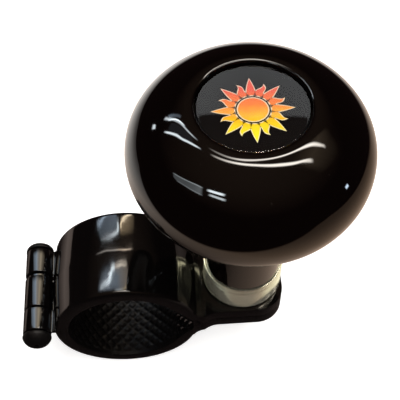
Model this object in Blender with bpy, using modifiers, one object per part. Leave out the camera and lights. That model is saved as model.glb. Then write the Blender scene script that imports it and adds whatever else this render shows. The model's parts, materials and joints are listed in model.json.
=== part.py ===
"""Steering wheel spinner knob with a hinged rim clamp.

Frame: the origin is the centre of the rim clamp's bore, on the plane where its two halves part.
+Y runs along the bore, +X points to the knob, and +Z is up along the knob's own axis.
All sizes are in metres.
"""
import math

import bmesh
import bpy
from mathutils import Vector

# Clearances
GAP = 0.0003                     # between two pieces that touch or run on each other
BODY_CLEARANCE = 0.0010          # knob body around the spindle, between its two bearings

# Rim clamp, two drafted castings that close round the steering wheel's rim
BORE_RADIUS = 0.0164
RING_WALL = 0.0040
RING_WIDTH = 0.0270
RING_DRAFT = 0.00055             # the wall is this much thicker at mid width
RING_EDGE_ROUND = 0.0011
NOTCH_REACH = 0.0004             # the bore's corner at the lugs ends this far past the ring

# Lugs that carry the knob and the clamp bolt
LUG_THICKNESS = 0.0036
LUG_REACH = 0.0136               # from the ring's wall to the knob's axis
LUG_END = 0.0113                 # from the knob's axis to the lug's free end
LUG_HALF_WIDTH = 0.0118
LUG_CORNER = 0.0076
LUG_ROOT_INSET = 0.0004          # the lug's root stops this far inside the ring's end faces
LUG_FILLET = 0.0040
LUG_EDGE_ROUND = 0.0006

# Hinge
BARREL_RADIUS = 0.0040
HINGE_STANDOFF = 0.0050          # from the ring's wall to the hinge's axis
MIDDLE_KNUCKLE_LENGTH = 0.0101
MIDDLE_KNUCKLE_OFFSET = -0.0010
HINGE_END_PLAY = 0.0012          # between the middle knuckle and the back one
SHOULDER_RADIUS = 0.0034         # of the step on the middle knuckle that fills that gap
WEB_HEIGHT = 0.0020              # of a knuckle's web, from the middle of the hinge
KNUCKLE_ROUND = 0.0004
PIN_RADIUS = 0.0019
PIN_HEAD_HEIGHT = 0.0031
PIN_HEAD_RADIUS = 0.0041
PIN_DIMPLE_RADIUS = 0.0009
PIN_CAP_HEIGHT = 0.0024
CAP_SOCKET_DEPTH = 0.0012

# Clamp bolt, M8, with a flat washer and a split spring washer
BOLT_RADIUS = 0.0032             # root of the thread
BOLT_CREST_RADIUS = 0.0040
BOLT_HEAD_FLATS = 0.0130
BOLT_HEAD_HEIGHT = 0.0053
BOLT_ENGAGEMENT = 0.0085         # how far the bolt reaches above the parting plane
BOLT_HOLE_CLEARANCE = 0.0004
WASHER_RADIUS = 0.0080
WASHER_THICKNESS = 0.0016
SPRING_WASHER_RADIUS = 0.0064
SPRING_WASHER_THICKNESS = 0.0020
SPRING_WASHER_SPLIT = 0.0010

# Spindle, one turned and zinc plated piece
COLLAR_RADIUS = 0.0112
COLLAR_HEIGHT = 0.0094
COLLAR_LIP = 0.0013
COLLAR_GROOVE = 0.0003
COLLAR_EDGE_ROUND = 0.0010
SPIGOT_WALL = 0.0014
SPIGOT_RECESS = 0.0006           # the spigot stops this far short of the parting plane
TAPPED_DEPTH = 0.0125            # of the tapped hole, from the parting plane
TAPPED_CLEARANCE = 0.0009        # room round the bolt's root, which lets it swing out
SHAFT_RADIUS = 0.0052

# Knob body
KNOB_RADIUS = 0.0300
KNOB_RISE = 0.0190               # from its widest level to the top of its curve
KNOB_DROP = 0.0199               # from its widest level to the bottom of its curve
KNOB_FULLNESS = 2.15             # exponent of the upper curve, 2 is an ellipse
NECK_LENGTH = 0.02815
NECK_RIM = 0.0010
NECK_LIFT = 0.0005               # the shadow line between the collar and the neck
UNDERSIDE_RADIUS = 0.0160        # where the neck's fillet leaves the knob's underside
LIP_WIDTH = 0.0025
LIP_HEIGHT = 0.0007

# Emblem, a printed disc under a clear dome
EMBLEM_RADIUS = 0.0131
EMBLEM_RECESS = 0.0034
EMBLEM_DISC_THICKNESS = 0.0012
EMBLEM_DOME_EDGE = 0.0005
EMBLEM_DOME_RISE = 0.0011

# Neck bush and thrust washer
FLANGE_WIDTH = 0.0039            # of the bush's flange and of the washer under it
BUSH_WALL = 0.0020
BUSH_LENGTH = 0.0110
BUSH_FLANGE = 0.0011
THRUST_WASHER_THICKNESS = 0.0009

# Ball bearing, 8 x 22 x 7
BEARING_BORE = 0.0040
BEARING_RADIUS = 0.0110
BALL_SHARE = 0.283               # a ball's radius, as a share of the bearing's section
RACE_SHARE = 0.2                 # half the width between the races, as a share of it too
BALL_COUNT = 7
CAGE_CLEARANCE = 0.0004
SHIELD_THICKNESS = 0.0003
SHIELD_CLEARANCE = 0.00015       # over a shield to the bearing's face, and under it
SHIELD_REBATE = 0.0006
CIRCLIP_THICKNESS = 0.0010
CIRCLIP_GROOVE = 0.0010
CIRCLIP_WIDTH = 0.0021
CIRCLIP_OPENING = math.radians(50)
CIRCLIP_EYE_RADIUS = 0.0013

# Spindle nut with its nylon locking ring
NUT_FLATS = 0.0130
NUT_HEIGHT = 0.0030
NUT_COLLAR_HEIGHT = 0.0011
NUT_COLLAR_WALL = 0.0006
NUT_RING_WALL = 0.0009
SPINDLE_WASHER_THICKNESS = 0.0012
SPINDLE_TIP_CLEARANCE = 0.0004

# Facets
RING_STEPS = 56
KNOB_STEPS = 40
COLLAR_STEPS = 32
SHAFT_STEPS = 20
BEARING_STEPS = 24
EYE_STEPS = 12
ARC_POINTS = 5

# Places that follow from the sizes
RING_RADIUS = BORE_RADIUS + RING_WALL
RING_HALF_WIDTH = RING_WIDTH / 2
KNOB_X = RING_RADIUS + LUG_REACH
HINGE_X = -(RING_RADIUS + HINGE_STANDOFF)
PARTING = GAP / 2
LUG_TOP = PARTING + LUG_THICKNESS
COLLAR_BOTTOM = LUG_TOP + GAP
COLLAR_TOP = COLLAR_BOTTOM + COLLAR_HEIGHT
NECK_BOTTOM = COLLAR_TOP + NECK_LIFT
KNOB_EQUATOR = NECK_BOTTOM + NECK_LENGTH + KNOB_DROP
EMBLEM_RECESS_RADIUS = EMBLEM_RADIUS + GAP
LIP_OUTER_RADIUS = EMBLEM_RECESS_RADIUS + LIP_WIDTH
FLANGE_RADIUS = SHAFT_RADIUS + GAP + FLANGE_WIDTH
NECK_RADIUS = FLANGE_RADIUS + GAP + NECK_RIM
TAPPED_RADIUS = BOLT_RADIUS + TAPPED_CLEARANCE
SPIGOT_RADIUS = TAPPED_RADIUS + SPIGOT_WALL
JOURNAL_RADIUS = BEARING_BORE - GAP
BALL_PITCH = (BEARING_BORE + BEARING_RADIUS) / 2
BEARING_SECTION = BEARING_RADIUS - BEARING_BORE
BEARING_WIDTH = BEARING_SECTION  # this size of bearing is as wide as its section
BALL_RADIUS = BALL_SHARE * BEARING_SECTION
RACE_SHOULDER = RACE_SHARE * BEARING_SECTION
INNER_RACE_RADIUS = BALL_PITCH - RACE_SHOULDER


def upper_curve_height(radius):
    """Height of the knob's upper curve above its widest level."""
    share = (radius / KNOB_RADIUS) ** KNOB_FULLNESS
    return KNOB_RISE * (1 - share) ** (1 / KNOB_FULLNESS)


LIP_SHOULDER_Z = KNOB_EQUATOR + upper_curve_height(LIP_OUTER_RADIUS)
LIP_TOP = LIP_SHOULDER_Z + LIP_HEIGHT / 4
DISH_FLOOR = LIP_TOP - EMBLEM_RECESS
SPINDLE_TOP = DISH_FLOOR - SPINDLE_TIP_CLEARANCE
NUT_TOP = SPINDLE_TOP - GAP
NUT_BOTTOM = NUT_TOP - NUT_COLLAR_HEIGHT - NUT_HEIGHT
SPINDLE_WASHER_BOTTOM = NUT_BOTTOM - GAP - SPINDLE_WASHER_THICKNESS
BEARING_TOP = SPINDLE_WASHER_BOTTOM - GAP
BEARING_BOTTOM = BEARING_TOP - BEARING_WIDTH
BEARING_MIDDLE = (BEARING_TOP + BEARING_BOTTOM) / 2
BEARING_SEAT = BEARING_BOTTOM - GAP
THRUST_WASHER_BOTTOM = COLLAR_TOP + GAP
FLANGE_BOTTOM = THRUST_WASHER_BOTTOM + THRUST_WASHER_THICKNESS + GAP
FLANGE_TOP = FLANGE_BOTTOM + BUSH_FLANGE
BUSH_TOP = FLANGE_BOTTOM + BUSH_LENGTH
BUSH_RADIUS = SHAFT_RADIUS + GAP + BUSH_WALL


def clear_scene():
    """Remove every object, and the collections that a new file starts with."""
    for obj in list(bpy.data.objects):
        bpy.data.objects.remove(obj, do_unlink=True)
    for collection in list(bpy.data.collections):
        bpy.data.collections.remove(collection)


def new_collection(name):
    collection = bpy.data.collections.new(name)
    bpy.context.scene.collection.children.link(collection)
    return collection


clear_scene()
PARTS = new_collection("spinner_knob")
CUTTERS = new_collection("cutters")


def material(name, color, roughness, metallic=0.0, alpha=1.0):
    """A Principled material in one colour."""
    mat = bpy.data.materials.new(name)
    mat.use_nodes = True
    shader = mat.node_tree.nodes["Principled BSDF"]
    shader.inputs["Base Color"].default_value = (*color, 1.0)
    shader.inputs["Roughness"].default_value = roughness
    shader.inputs["Metallic"].default_value = metallic
    shader.inputs["Alpha"].default_value = alpha
    return mat


BLACK_PAINT = material("black_cast_paint", (0.012, 0.011, 0.010), 0.16)
KNOB_BLACK = material("knob_gloss_black", (0.010, 0.008, 0.007), 0.05)
ZINC = material("zinc_plate", (0.72, 0.70, 0.62), 0.24, 1.0)
STEEL = material("bearing_steel", (0.62, 0.62, 0.62), 0.18, 1.0)
DARK_STEEL = material("spring_steel", (0.10, 0.10, 0.11), 0.35, 1.0)
NYLON = material("white_nylon", (0.82, 0.80, 0.74), 0.45)
BRONZE = material("bush_bronze", (0.52, 0.33, 0.16), 0.40, 1.0)
PRINT = material("emblem_print", (0.05, 0.03, 0.02), 0.35)
CLEAR = material("clear_dome", (0.95, 0.95, 0.95), 0.02, 0.0, 0.35)


def place(obj, mat, parent=None, cutter=False):
    """Put an object in its collection, with its material or as a wire-drawn cutter."""
    if cutter:
        CUTTERS.objects.link(obj)
        obj.hide_render = True
        obj.display_type = "WIRE"
    else:
        PARTS.objects.link(obj)
        obj.data.materials.append(mat)
        obj.parent = parent
    return obj


def axis_empty(name, location, rotation=(0.0, 0.0, 0.0)):
    """An empty on a joint's axis, which carries the pieces that turn or slide on it."""
    empty = bpy.data.objects.new(name, None)
    empty.location = location
    empty.rotation_euler = rotation
    PARTS.objects.link(empty)
    return empty


def turned(name, mat, outline, steps, closed=True, parent=None, location=None, rotation=None,
           cutter=False):
    """A turned piece: an outline of (radius, height) points swept round local Z.

    The outline runs down its outer side. An open one starts and ends on the axis.
    """
    mesh = bpy.data.meshes.new(name)
    points = [(radius, 0.0, height) for radius, height in outline]
    edges = [(i, i + 1) for i in range(len(points) - 1)]
    if closed:
        edges.append((len(points) - 1, 0))
    mesh.from_pydata(points, edges, [])
    obj = place(bpy.data.objects.new(name, mesh), mat, parent, cutter)
    if location is not None:
        obj.location = location
    if rotation is not None:
        obj.rotation_euler = rotation
    screw = obj.modifiers.new("turn", "SCREW")
    screw.axis = "Z"
    screw.angle = math.tau
    screw.steps = steps
    screw.render_steps = steps
    screw.use_merge_vertices = True
    screw.merge_threshold = 0.00001
    screw.use_smooth_shade = True
    return obj


def extruded(name, mat, outline, low, high, axis="Z", parent=None, location=None, cutter=False):
    """A flat outline of (u, v) points, pushed from low to high along Z, or along Y in XZ."""
    frame = bmesh.new()
    if axis == "Z":
        ring = [frame.verts.new((u, v, low)) for u, v in outline]
        push = Vector((0.0, 0.0, high - low))
    else:
        ring = [frame.verts.new((u, low, v)) for u, v in outline]
        push = Vector((0.0, high - low, 0.0))
    face = frame.faces.new(ring)
    moved = bmesh.ops.extrude_face_region(frame, geom=[face])
    top = [item for item in moved["geom"] if isinstance(item, bmesh.types.BMVert)]
    bmesh.ops.translate(frame, verts=top, vec=push)
    bmesh.ops.recalc_face_normals(frame, faces=frame.faces)
    mesh = bpy.data.meshes.new(name)
    frame.to_mesh(mesh)
    frame.free()
    obj = place(bpy.data.objects.new(name, mesh), mat, parent, cutter)
    if location is not None:
        obj.location = location
    return obj


def combine(obj, operation, other):
    """Add, cut or intersect with another object by a Boolean modifier."""
    boolean = obj.modifiers.new(operation.lower(), "BOOLEAN")
    boolean.operation = operation
    boolean.solver = "EXACT"
    boolean.object = other


def round_edges(obj, width, segments=2, angle=40.0):
    bevel = obj.modifiers.new("edge_round", "BEVEL")
    bevel.width = width
    bevel.segments = segments
    bevel.limit_method = "ANGLE"
    bevel.angle_limit = math.radians(angle)


def arc(centre, radius, start, end, count=ARC_POINTS):
    """Points on an arc from one angle to another, in degrees, with both ends."""
    points = []
    for i in range(count):
        angle = math.radians(start + (end - start) * i / (count - 1))
        points.append((centre[0] + radius * math.cos(angle), centre[1] + radius * math.sin(angle)))
    return points


def bend(start, corner, end, count=ARC_POINTS):
    """Points on a smooth bend between two straight runs that meet at a corner."""
    points = []
    for i in range(count):
        t = i / (count - 1)
        points.append(tuple((1 - t) ** 2 * a + 2 * t * (1 - t) * b + t ** 2 * c
                            for a, b, c in zip(start, corner, end)))
    return points


def hexagon(flats):
    corner = flats / math.sqrt(3)
    return arc((0.0, 0.0), corner, 0, 300, 6)


def disc(radius, bottom, top):
    """Outline of a plain solid disc or cylinder."""
    return [(0.0, top), (radius, top), (radius, bottom), (0.0, bottom)]


def flat_ring(inner, outer, bottom, top):
    """Outline of a plain washer or sleeve."""
    return [(outer, top), (outer, bottom), (inner, bottom), (inner, top)]


Y_AXIS = (math.radians(-90), 0.0, 0.0)


def ring_blank(name, mat, parent):
    """The clamp's full ring: drafted both ways from its mid width, with rounded outer edges."""
    edge = RING_HALF_WIDTH - RING_EDGE_ROUND
    outline = arc((RING_RADIUS - RING_EDGE_ROUND, edge), RING_EDGE_ROUND, 90, 0, 4)
    outline += [(RING_RADIUS + RING_DRAFT, 0.0)]
    outline += arc((RING_RADIUS - RING_EDGE_ROUND, -edge), RING_EDGE_ROUND, 0, -90, 4)
    outline += [(BORE_RADIUS, -RING_HALF_WIDTH), (BORE_RADIUS, RING_HALF_WIDTH)]
    return turned(name, mat, outline, RING_STEPS, parent=parent,
                  location=(-parent.location.x, 0.0, 0.0) if parent else None, rotation=Y_AXIS)


def lug_blank(name, side):
    """A lug with its fillet into the ring: a side outline, cut to its shape in plan."""
    root = (BORE_RADIUS + RING_RADIUS) / 2
    end = KNOB_X + LUG_END
    fillet_z = LUG_TOP + LUG_FILLET
    fillet_x = math.sqrt((RING_RADIUS + LUG_FILLET) ** 2 - fillet_z ** 2)
    ring_angle = math.degrees(math.atan2(fillet_z, fillet_x))
    profile = [(root, -LUG_TOP / 2), (end, -LUG_TOP / 2), (end, LUG_TOP)]
    profile += arc((fillet_x, fillet_z), LUG_FILLET, 270, 180 + ring_angle, 6)
    profile += [(root, fillet_z * RING_RADIUS / (RING_RADIUS + LUG_FILLET))]
    profile = [(x, side * z) for x, z in profile]
    lug = extruded(name, None, profile, -RING_HALF_WIDTH, RING_HALF_WIDTH, "Y", cutter=True)

    wide = RING_HALF_WIDTH - LUG_ROOT_INSET
    flare_start = RING_RADIUS + LUG_FILLET / 2
    flare_end = flare_start + LUG_FILLET
    corner = (end - LUG_CORNER, LUG_HALF_WIDTH - LUG_CORNER)
    half = [(root - RING_WALL, wide)]
    half += bend((flare_start, wide), ((flare_start + flare_end) / 2, LUG_HALF_WIDTH),
                 (flare_end, LUG_HALF_WIDTH), 4)
    half += arc(corner, LUG_CORNER, 90, 0, 7)
    plan = half + [(x, -y) for x, y in reversed(half)]
    trim = extruded(name + "_plan", None, plan, -2 * fillet_z, 2 * fillet_z, cutter=True)
    combine(lug, "INTERSECT", trim)
    round_edges(lug, LUG_EDGE_ROUND)
    return lug


def knuckle_blank(name, side, low, high):
    """A hinge knuckle with the web, lower than its barrel, that joins it to the ring."""
    web_end = HINGE_X + HINGE_STANDOFF + RING_WALL / 2
    web_foot = PARTING + GAP
    foot_angle = math.degrees(math.asin(web_foot / BARREL_RADIUS))
    web_angle = math.degrees(math.asin(WEB_HEIGHT / BARREL_RADIUS))
    outline = [(web_end, WEB_HEIGHT)]
    outline += arc((HINGE_X, 0.0), BARREL_RADIUS, web_angle, 360 + foot_angle, 18)
    outline += [(web_end, web_foot)]
    outline = [(x, side * z) for x, z in outline]
    knuckle = extruded(name, None, outline, low, high, "Y", cutter=True)
    round_edges(knuckle, KNUCKLE_ROUND, 2, 60.0)
    return knuckle


def round_cutter(name, radius, low, high, x, axis="Z"):
    """A cylinder that cuts a hole along Z or Y, at a place on the X axis."""
    return turned(name, None, disc(radius, low, high), SHAFT_STEPS, closed=False, location=(x, 0.0, 0.0),
                  rotation=Y_AXIS if axis == "Y" else None, cutter=True)


def clamp_half(name, side, knuckles, bolt_hole, parent=None, shoulder=None):
    """One casting: half the ring, a lug and its knuckles. side is +1 above, -1 below.

    shoulder gives the Y span of a step on the end of a knuckle.
    """
    half = ring_blank(name, BLACK_PAINT, parent)
    combine(half, "UNION", lug_blank(name + "_lug", side))

    notch_tip = RING_RADIUS + NOTCH_REACH
    tangent = math.acos(BORE_RADIUS / notch_tip)
    touch = (BORE_RADIUS * math.cos(tangent), BORE_RADIUS * math.sin(tangent))
    kite = [(0.0, 0.0), (touch[0], -touch[1]), (notch_tip, 0.0), touch]
    notch = extruded(name + "_notch", None, kite, -RING_WIDTH, RING_WIDTH, "Y", cutter=True)
    combine(half, "DIFFERENCE", notch)

    reach = KNOB_X + 2 * LUG_END
    square = [(-reach, -reach), (reach, -reach), (reach, reach), (-reach, reach)]
    low, high = (-reach, PARTING) if side > 0 else (-PARTING, reach)
    combine(half, "DIFFERENCE", extruded(name + "_parting", None, square, low, high, cutter=True))

    for i, (start, end) in enumerate(knuckles):
        combine(half, "UNION", knuckle_blank(f"{name}_knuckle_{i + 1}", side, start, end))
    if shoulder:
        combine(half, "UNION",
                turned(name + "_shoulder", None, disc(SHOULDER_RADIUS, *shoulder), EYE_STEPS, closed=False,
                       location=(HINGE_X, 0.0, 0.0), rotation=Y_AXIS, cutter=True))
    bore = PIN_RADIUS + GAP
    combine(half, "DIFFERENCE",
            round_cutter(name + "_hinge_bore", bore, -RING_WIDTH, RING_WIDTH, HINGE_X, "Y"))
    combine(half, "DIFFERENCE",
            round_cutter(name + "_bolt_hole", bolt_hole, -2 * LUG_TOP, 2 * LUG_TOP, KNOB_X))
    return half


def knuckle_spans():
    """Y spans of the back, middle and front knuckles."""
    middle_low = MIDDLE_KNUCKLE_OFFSET - MIDDLE_KNUCKLE_LENGTH / 2
    middle_high = MIDDLE_KNUCKLE_OFFSET + MIDDLE_KNUCKLE_LENGTH / 2
    back = (middle_high + HINGE_END_PLAY, RING_HALF_WIDTH)
    front = (-RING_HALF_WIDTH, middle_low - GAP)
    return back, (middle_low, middle_high), front


def hinge_pin():
    """A rivet with a domed head at the front, dimpled where it was headed."""
    head = -(RING_HALF_WIDTH + GAP)
    tip = RING_HALF_WIDTH + GAP + CAP_SOCKET_DEPTH
    dome = bend((PIN_HEAD_RADIUS, head), (PIN_HEAD_RADIUS, head - PIN_HEAD_HEIGHT),
                (PIN_DIMPLE_RADIUS, head - PIN_HEAD_HEIGHT))
    outline = [(0.0, tip), (PIN_RADIUS, tip), (PIN_RADIUS, head)] + dome
    outline += [(0.0, head - PIN_HEAD_HEIGHT + PIN_DIMPLE_RADIUS / 2)]
    turned("hinge_pin", BLACK_PAINT, outline, SHAFT_STEPS, closed=False,
           location=(HINGE_X, 0.0, 0.0), rotation=Y_AXIS)


def hinge_pin_cap():
    """A domed cap over the pin's plain end."""
    seat = RING_HALF_WIDTH + GAP
    top = seat + PIN_CAP_HEIGHT
    socket = seat + CAP_SOCKET_DEPTH + GAP
    hole = PIN_RADIUS + GAP
    outline = bend((0.0, top), (PIN_HEAD_RADIUS, top), (PIN_HEAD_RADIUS, seat))
    outline += [(hole, seat), (hole, socket), (0.0, socket)]
    turned("hinge_pin_cap", BLACK_PAINT, outline, SHAFT_STEPS, closed=False,
           location=(HINGE_X, 0.0, 0.0), rotation=Y_AXIS)


def spindle():
    """The turned spindle: bearing journal, shaft, visible collar and tapped spigot."""
    tip_chamfer = GAP
    lip_bottom = COLLAR_TOP - COLLAR_LIP
    groove_radius = COLLAR_RADIUS - COLLAR_GROOVE
    round_centre = (COLLAR_RADIUS - COLLAR_EDGE_ROUND, COLLAR_BOTTOM + COLLAR_EDGE_ROUND)
    outline = [(0.0, SPINDLE_TOP), (JOURNAL_RADIUS - tip_chamfer, SPINDLE_TOP)]
    outline += [(JOURNAL_RADIUS, SPINDLE_TOP - tip_chamfer), (JOURNAL_RADIUS, BEARING_SEAT)]
    outline += [(SHAFT_RADIUS, BEARING_SEAT), (SHAFT_RADIUS, COLLAR_TOP)]
    outline += [(COLLAR_RADIUS - COLLAR_GROOVE * 2, COLLAR_TOP)]
    outline += [(COLLAR_RADIUS, COLLAR_TOP - COLLAR_GROOVE), (COLLAR_RADIUS, lip_bottom)]
    outline += [(groove_radius, lip_bottom - COLLAR_GROOVE)]
    outline += [(COLLAR_RADIUS, lip_bottom - 2 * COLLAR_GROOVE)]
    outline += arc(round_centre, COLLAR_EDGE_ROUND, 0, -90, 4)
    outline += [(SPIGOT_RADIUS, COLLAR_BOTTOM), (SPIGOT_RADIUS, SPIGOT_RECESS)]
    outline += [(TAPPED_RADIUS, SPIGOT_RECESS), (TAPPED_RADIUS, TAPPED_DEPTH)]
    outline += [(0.0, TAPPED_DEPTH + TAPPED_RADIUS / 2)]
    turned("spindle", ZINC, outline, COLLAR_STEPS, closed=False, location=(KNOB_X, 0.0, 0.0))


def spindle_fasteners():
    """Washer and locking nut that hold the bearing's inner race on the spindle."""
    hole = JOURNAL_RADIUS + GAP
    washer_top = SPINDLE_WASHER_BOTTOM + SPINDLE_WASHER_THICKNESS
    washer = flat_ring(hole, INNER_RACE_RADIUS - GAP, SPINDLE_WASHER_BOTTOM, washer_top)
    turned("spindle_washer", ZINC, washer, SHAFT_STEPS, location=(KNOB_X, 0.0, 0.0))

    hex_top = NUT_BOTTOM + NUT_HEIGHT
    collar = NUT_FLATS / 2 - NUT_COLLAR_WALL / 2
    nut = extruded("spindle_nut", ZINC, hexagon(NUT_FLATS), NUT_BOTTOM, hex_top,
                   location=(KNOB_X, 0.0, 0.0))
    crown = turned("nut_crown", None, disc(collar, hex_top - GAP, NUT_TOP), SHAFT_STEPS,
                   closed=False, location=(KNOB_X, 0.0, 0.0), cutter=True)
    combine(nut, "UNION", crown)
    combine(nut, "DIFFERENCE", round_cutter("nut_hole", hole, NUT_BOTTOM - WASHER_THICKNESS,
                                            NUT_TOP + WASHER_THICKNESS, KNOB_X))
    pocket = hole + NUT_RING_WALL + GAP
    combine(nut, "DIFFERENCE", round_cutter("nut_pocket", pocket, hex_top,
                                            NUT_TOP + WASHER_THICKNESS, KNOB_X))
    ring = flat_ring(hole, hole + NUT_RING_WALL, hex_top + GAP, NUT_TOP)
    turned("nut_locking_ring", NYLON, ring, SHAFT_STEPS, location=(KNOB_X, 0.0, 0.0))


def clamp_bolt(parent):
    """Hex bolt with its washers, under the lower lug. Heights are from the parting plane."""
    lug_face = -LUG_TOP
    washer_top = lug_face - GAP
    washer_bottom = washer_top - WASHER_THICKNESS
    spring_top = washer_bottom - GAP
    spring_bottom = spring_top - SPRING_WASHER_THICKNESS
    head_top = spring_bottom - GAP
    head_bottom = head_top - BOLT_HEAD_HEIGHT
    hole = BOLT_CREST_RADIUS + GAP

    bolt = extruded("clamp_bolt", ZINC, hexagon(BOLT_HEAD_FLATS), head_bottom, head_top,
                    parent=parent)
    chamfer = BOLT_RADIUS / 4
    shank = [(0.0, BOLT_ENGAGEMENT), (BOLT_RADIUS - chamfer, BOLT_ENGAGEMENT)]
    shank += [(BOLT_RADIUS, BOLT_ENGAGEMENT - chamfer), (BOLT_RADIUS, head_top - GAP)]
    shank += [(0.0, head_top - GAP)]
    combine(bolt, "UNION", turned("bolt_shank", None, shank, SHAFT_STEPS, closed=False,
                                  location=(KNOB_X, 0.0, 0.0), cutter=True))
    crown_radius = BOLT_HEAD_FLATS / math.sqrt(3)
    drop = crown_radius - BOLT_HEAD_FLATS / 2
    crown_top = 2 * BOLT_ENGAGEMENT
    crown = [(0.0, crown_top), (2 * crown_radius, crown_top)]
    crown += [(2 * crown_radius, head_bottom + drop), (crown_radius, head_bottom + drop)]
    crown += [(BOLT_HEAD_FLATS / 2, head_bottom), (0.0, head_bottom)]
    combine(bolt, "INTERSECT", turned("bolt_head_turning", None, crown, COLLAR_STEPS,
                                      closed=False, location=(KNOB_X, 0.0, 0.0), cutter=True))

    turned("bolt_washer", ZINC, flat_ring(hole, WASHER_RADIUS, washer_bottom, washer_top),
           SHAFT_STEPS, parent=parent)
    spring = turned("bolt_spring_washer", ZINC,
                    flat_ring(hole, SPRING_WASHER_RADIUS, spring_bottom, spring_top),
                    SHAFT_STEPS, parent=parent)
    half_split = SPRING_WASHER_SPLIT / 2
    lean = SPRING_WASHER_THICKNESS / 2
    slot = [(-half_split - lean, spring_bottom - lean), (half_split - lean, spring_bottom - lean),
            (half_split + lean, spring_top + lean), (-half_split + lean, spring_top + lean)]
    combine(spring, "DIFFERENCE",
            extruded("washer_split", None, slot, 0.0, 2 * SPRING_WASHER_RADIUS, "Y",
                     location=(KNOB_X, 0.0, 0.0), cutter=True))


def thrust_and_bush(parent):
    """Nylon thrust washer on the collar, and the flanged bush in the knob's neck."""
    bore = SHAFT_RADIUS + GAP
    washer_top = THRUST_WASHER_BOTTOM + THRUST_WASHER_THICKNESS
    turned("thrust_washer", NYLON, flat_ring(bore, FLANGE_RADIUS, THRUST_WASHER_BOTTOM, washer_top),
           SHAFT_STEPS, location=(KNOB_X, 0.0, 0.0))
    bush = [(BUSH_RADIUS, BUSH_TOP), (BUSH_RADIUS, FLANGE_TOP), (FLANGE_RADIUS, FLANGE_TOP)]
    bush += [(FLANGE_RADIUS, FLANGE_BOTTOM), (bore, FLANGE_BOTTOM), (bore, BUSH_TOP)]
    turned("neck_bush", BRONZE, bush, SHAFT_STEPS, parent=parent)


def bearing(knob_axis, cage_axis):
    """The sealed ball bearing: races, balls, cage and two shields."""
    outer_shoulder = BALL_PITCH + RACE_SHOULDER
    groove = BALL_RADIUS + GAP
    half_width = BEARING_WIDTH / 2
    opening = math.degrees(math.acos(RACE_SHOULDER / groove))

    inner = [(INNER_RACE_RADIUS, half_width)]
    inner += arc((BALL_PITCH, 0.0), groove, 180 - opening, 180 + opening, 7)
    inner += [(INNER_RACE_RADIUS, -half_width), (BEARING_BORE, -half_width), (BEARING_BORE, half_width)]
    turned("bearing_inner_race", STEEL, inner, BEARING_STEPS,
           location=(KNOB_X, 0.0, BEARING_MIDDLE))

    rebate_radius = outer_shoulder + SHIELD_REBATE
    shield_top = half_width - SHIELD_CLEARANCE
    shield_bottom = shield_top - SHIELD_THICKNESS
    rebate = shield_bottom - SHIELD_CLEARANCE
    outer = [(BEARING_RADIUS, half_width), (BEARING_RADIUS, -half_width)]
    outer += [(rebate_radius, -half_width), (rebate_radius, -rebate), (outer_shoulder, -rebate)]
    outer += arc((BALL_PITCH, 0.0), groove, -opening, opening, 7)
    outer += [(outer_shoulder, rebate), (rebate_radius, rebate), (rebate_radius, half_width)]
    turned("bearing_outer_race", STEEL, outer, BEARING_STEPS, parent=knob_axis,
           location=(0.0, 0.0, BEARING_MIDDLE))

    shield = flat_ring(INNER_RACE_RADIUS + GAP, rebate_radius - GAP, shield_bottom, shield_top)
    turned("bearing_shield_upper", STEEL, shield, BEARING_STEPS, parent=knob_axis,
           location=(0.0, 0.0, BEARING_MIDDLE))
    lower = [(radius, -height) for radius, height in reversed(shield)]
    turned("bearing_shield_lower", STEEL, lower, BEARING_STEPS, parent=knob_axis,
           location=(0.0, 0.0, BEARING_MIDDLE))

    cage_outline = flat_ring(INNER_RACE_RADIUS + CAGE_CLEARANCE, outer_shoulder - CAGE_CLEARANCE,
                             -BALL_RADIUS * 0.8, rebate)
    cage = turned("bearing_cage", NYLON, cage_outline, 4 * BALL_COUNT, parent=cage_axis,
                  location=(0.0, 0.0, BEARING_MIDDLE))
    for i in range(BALL_COUNT):
        angle = math.tau * i / BALL_COUNT
        place_xy = (BALL_PITCH * math.cos(angle), BALL_PITCH * math.sin(angle))
        ball = ball_mesh(f"bearing_ball_{i + 1}", BALL_RADIUS, 12, 8)
        place(ball, STEEL, cage_axis)
        ball.location = (*place_xy, BEARING_MIDDLE)
        pocket = ball_mesh(f"cage_pocket_{i + 1}", groove, 12, 8)
        place(pocket, None, cutter=True)
        pocket.location = (KNOB_X + place_xy[0], place_xy[1], BEARING_MIDDLE)
        combine(cage, "DIFFERENCE", pocket)


def ball_mesh(name, radius, segments, rings):
    frame = bmesh.new()
    bmesh.ops.create_uvsphere(frame, u_segments=segments, v_segments=rings, radius=radius)
    mesh = bpy.data.meshes.new(name)
    frame.to_mesh(mesh)
    frame.free()
    mesh.shade_smooth()
    return bpy.data.objects.new(name, mesh)


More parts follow.
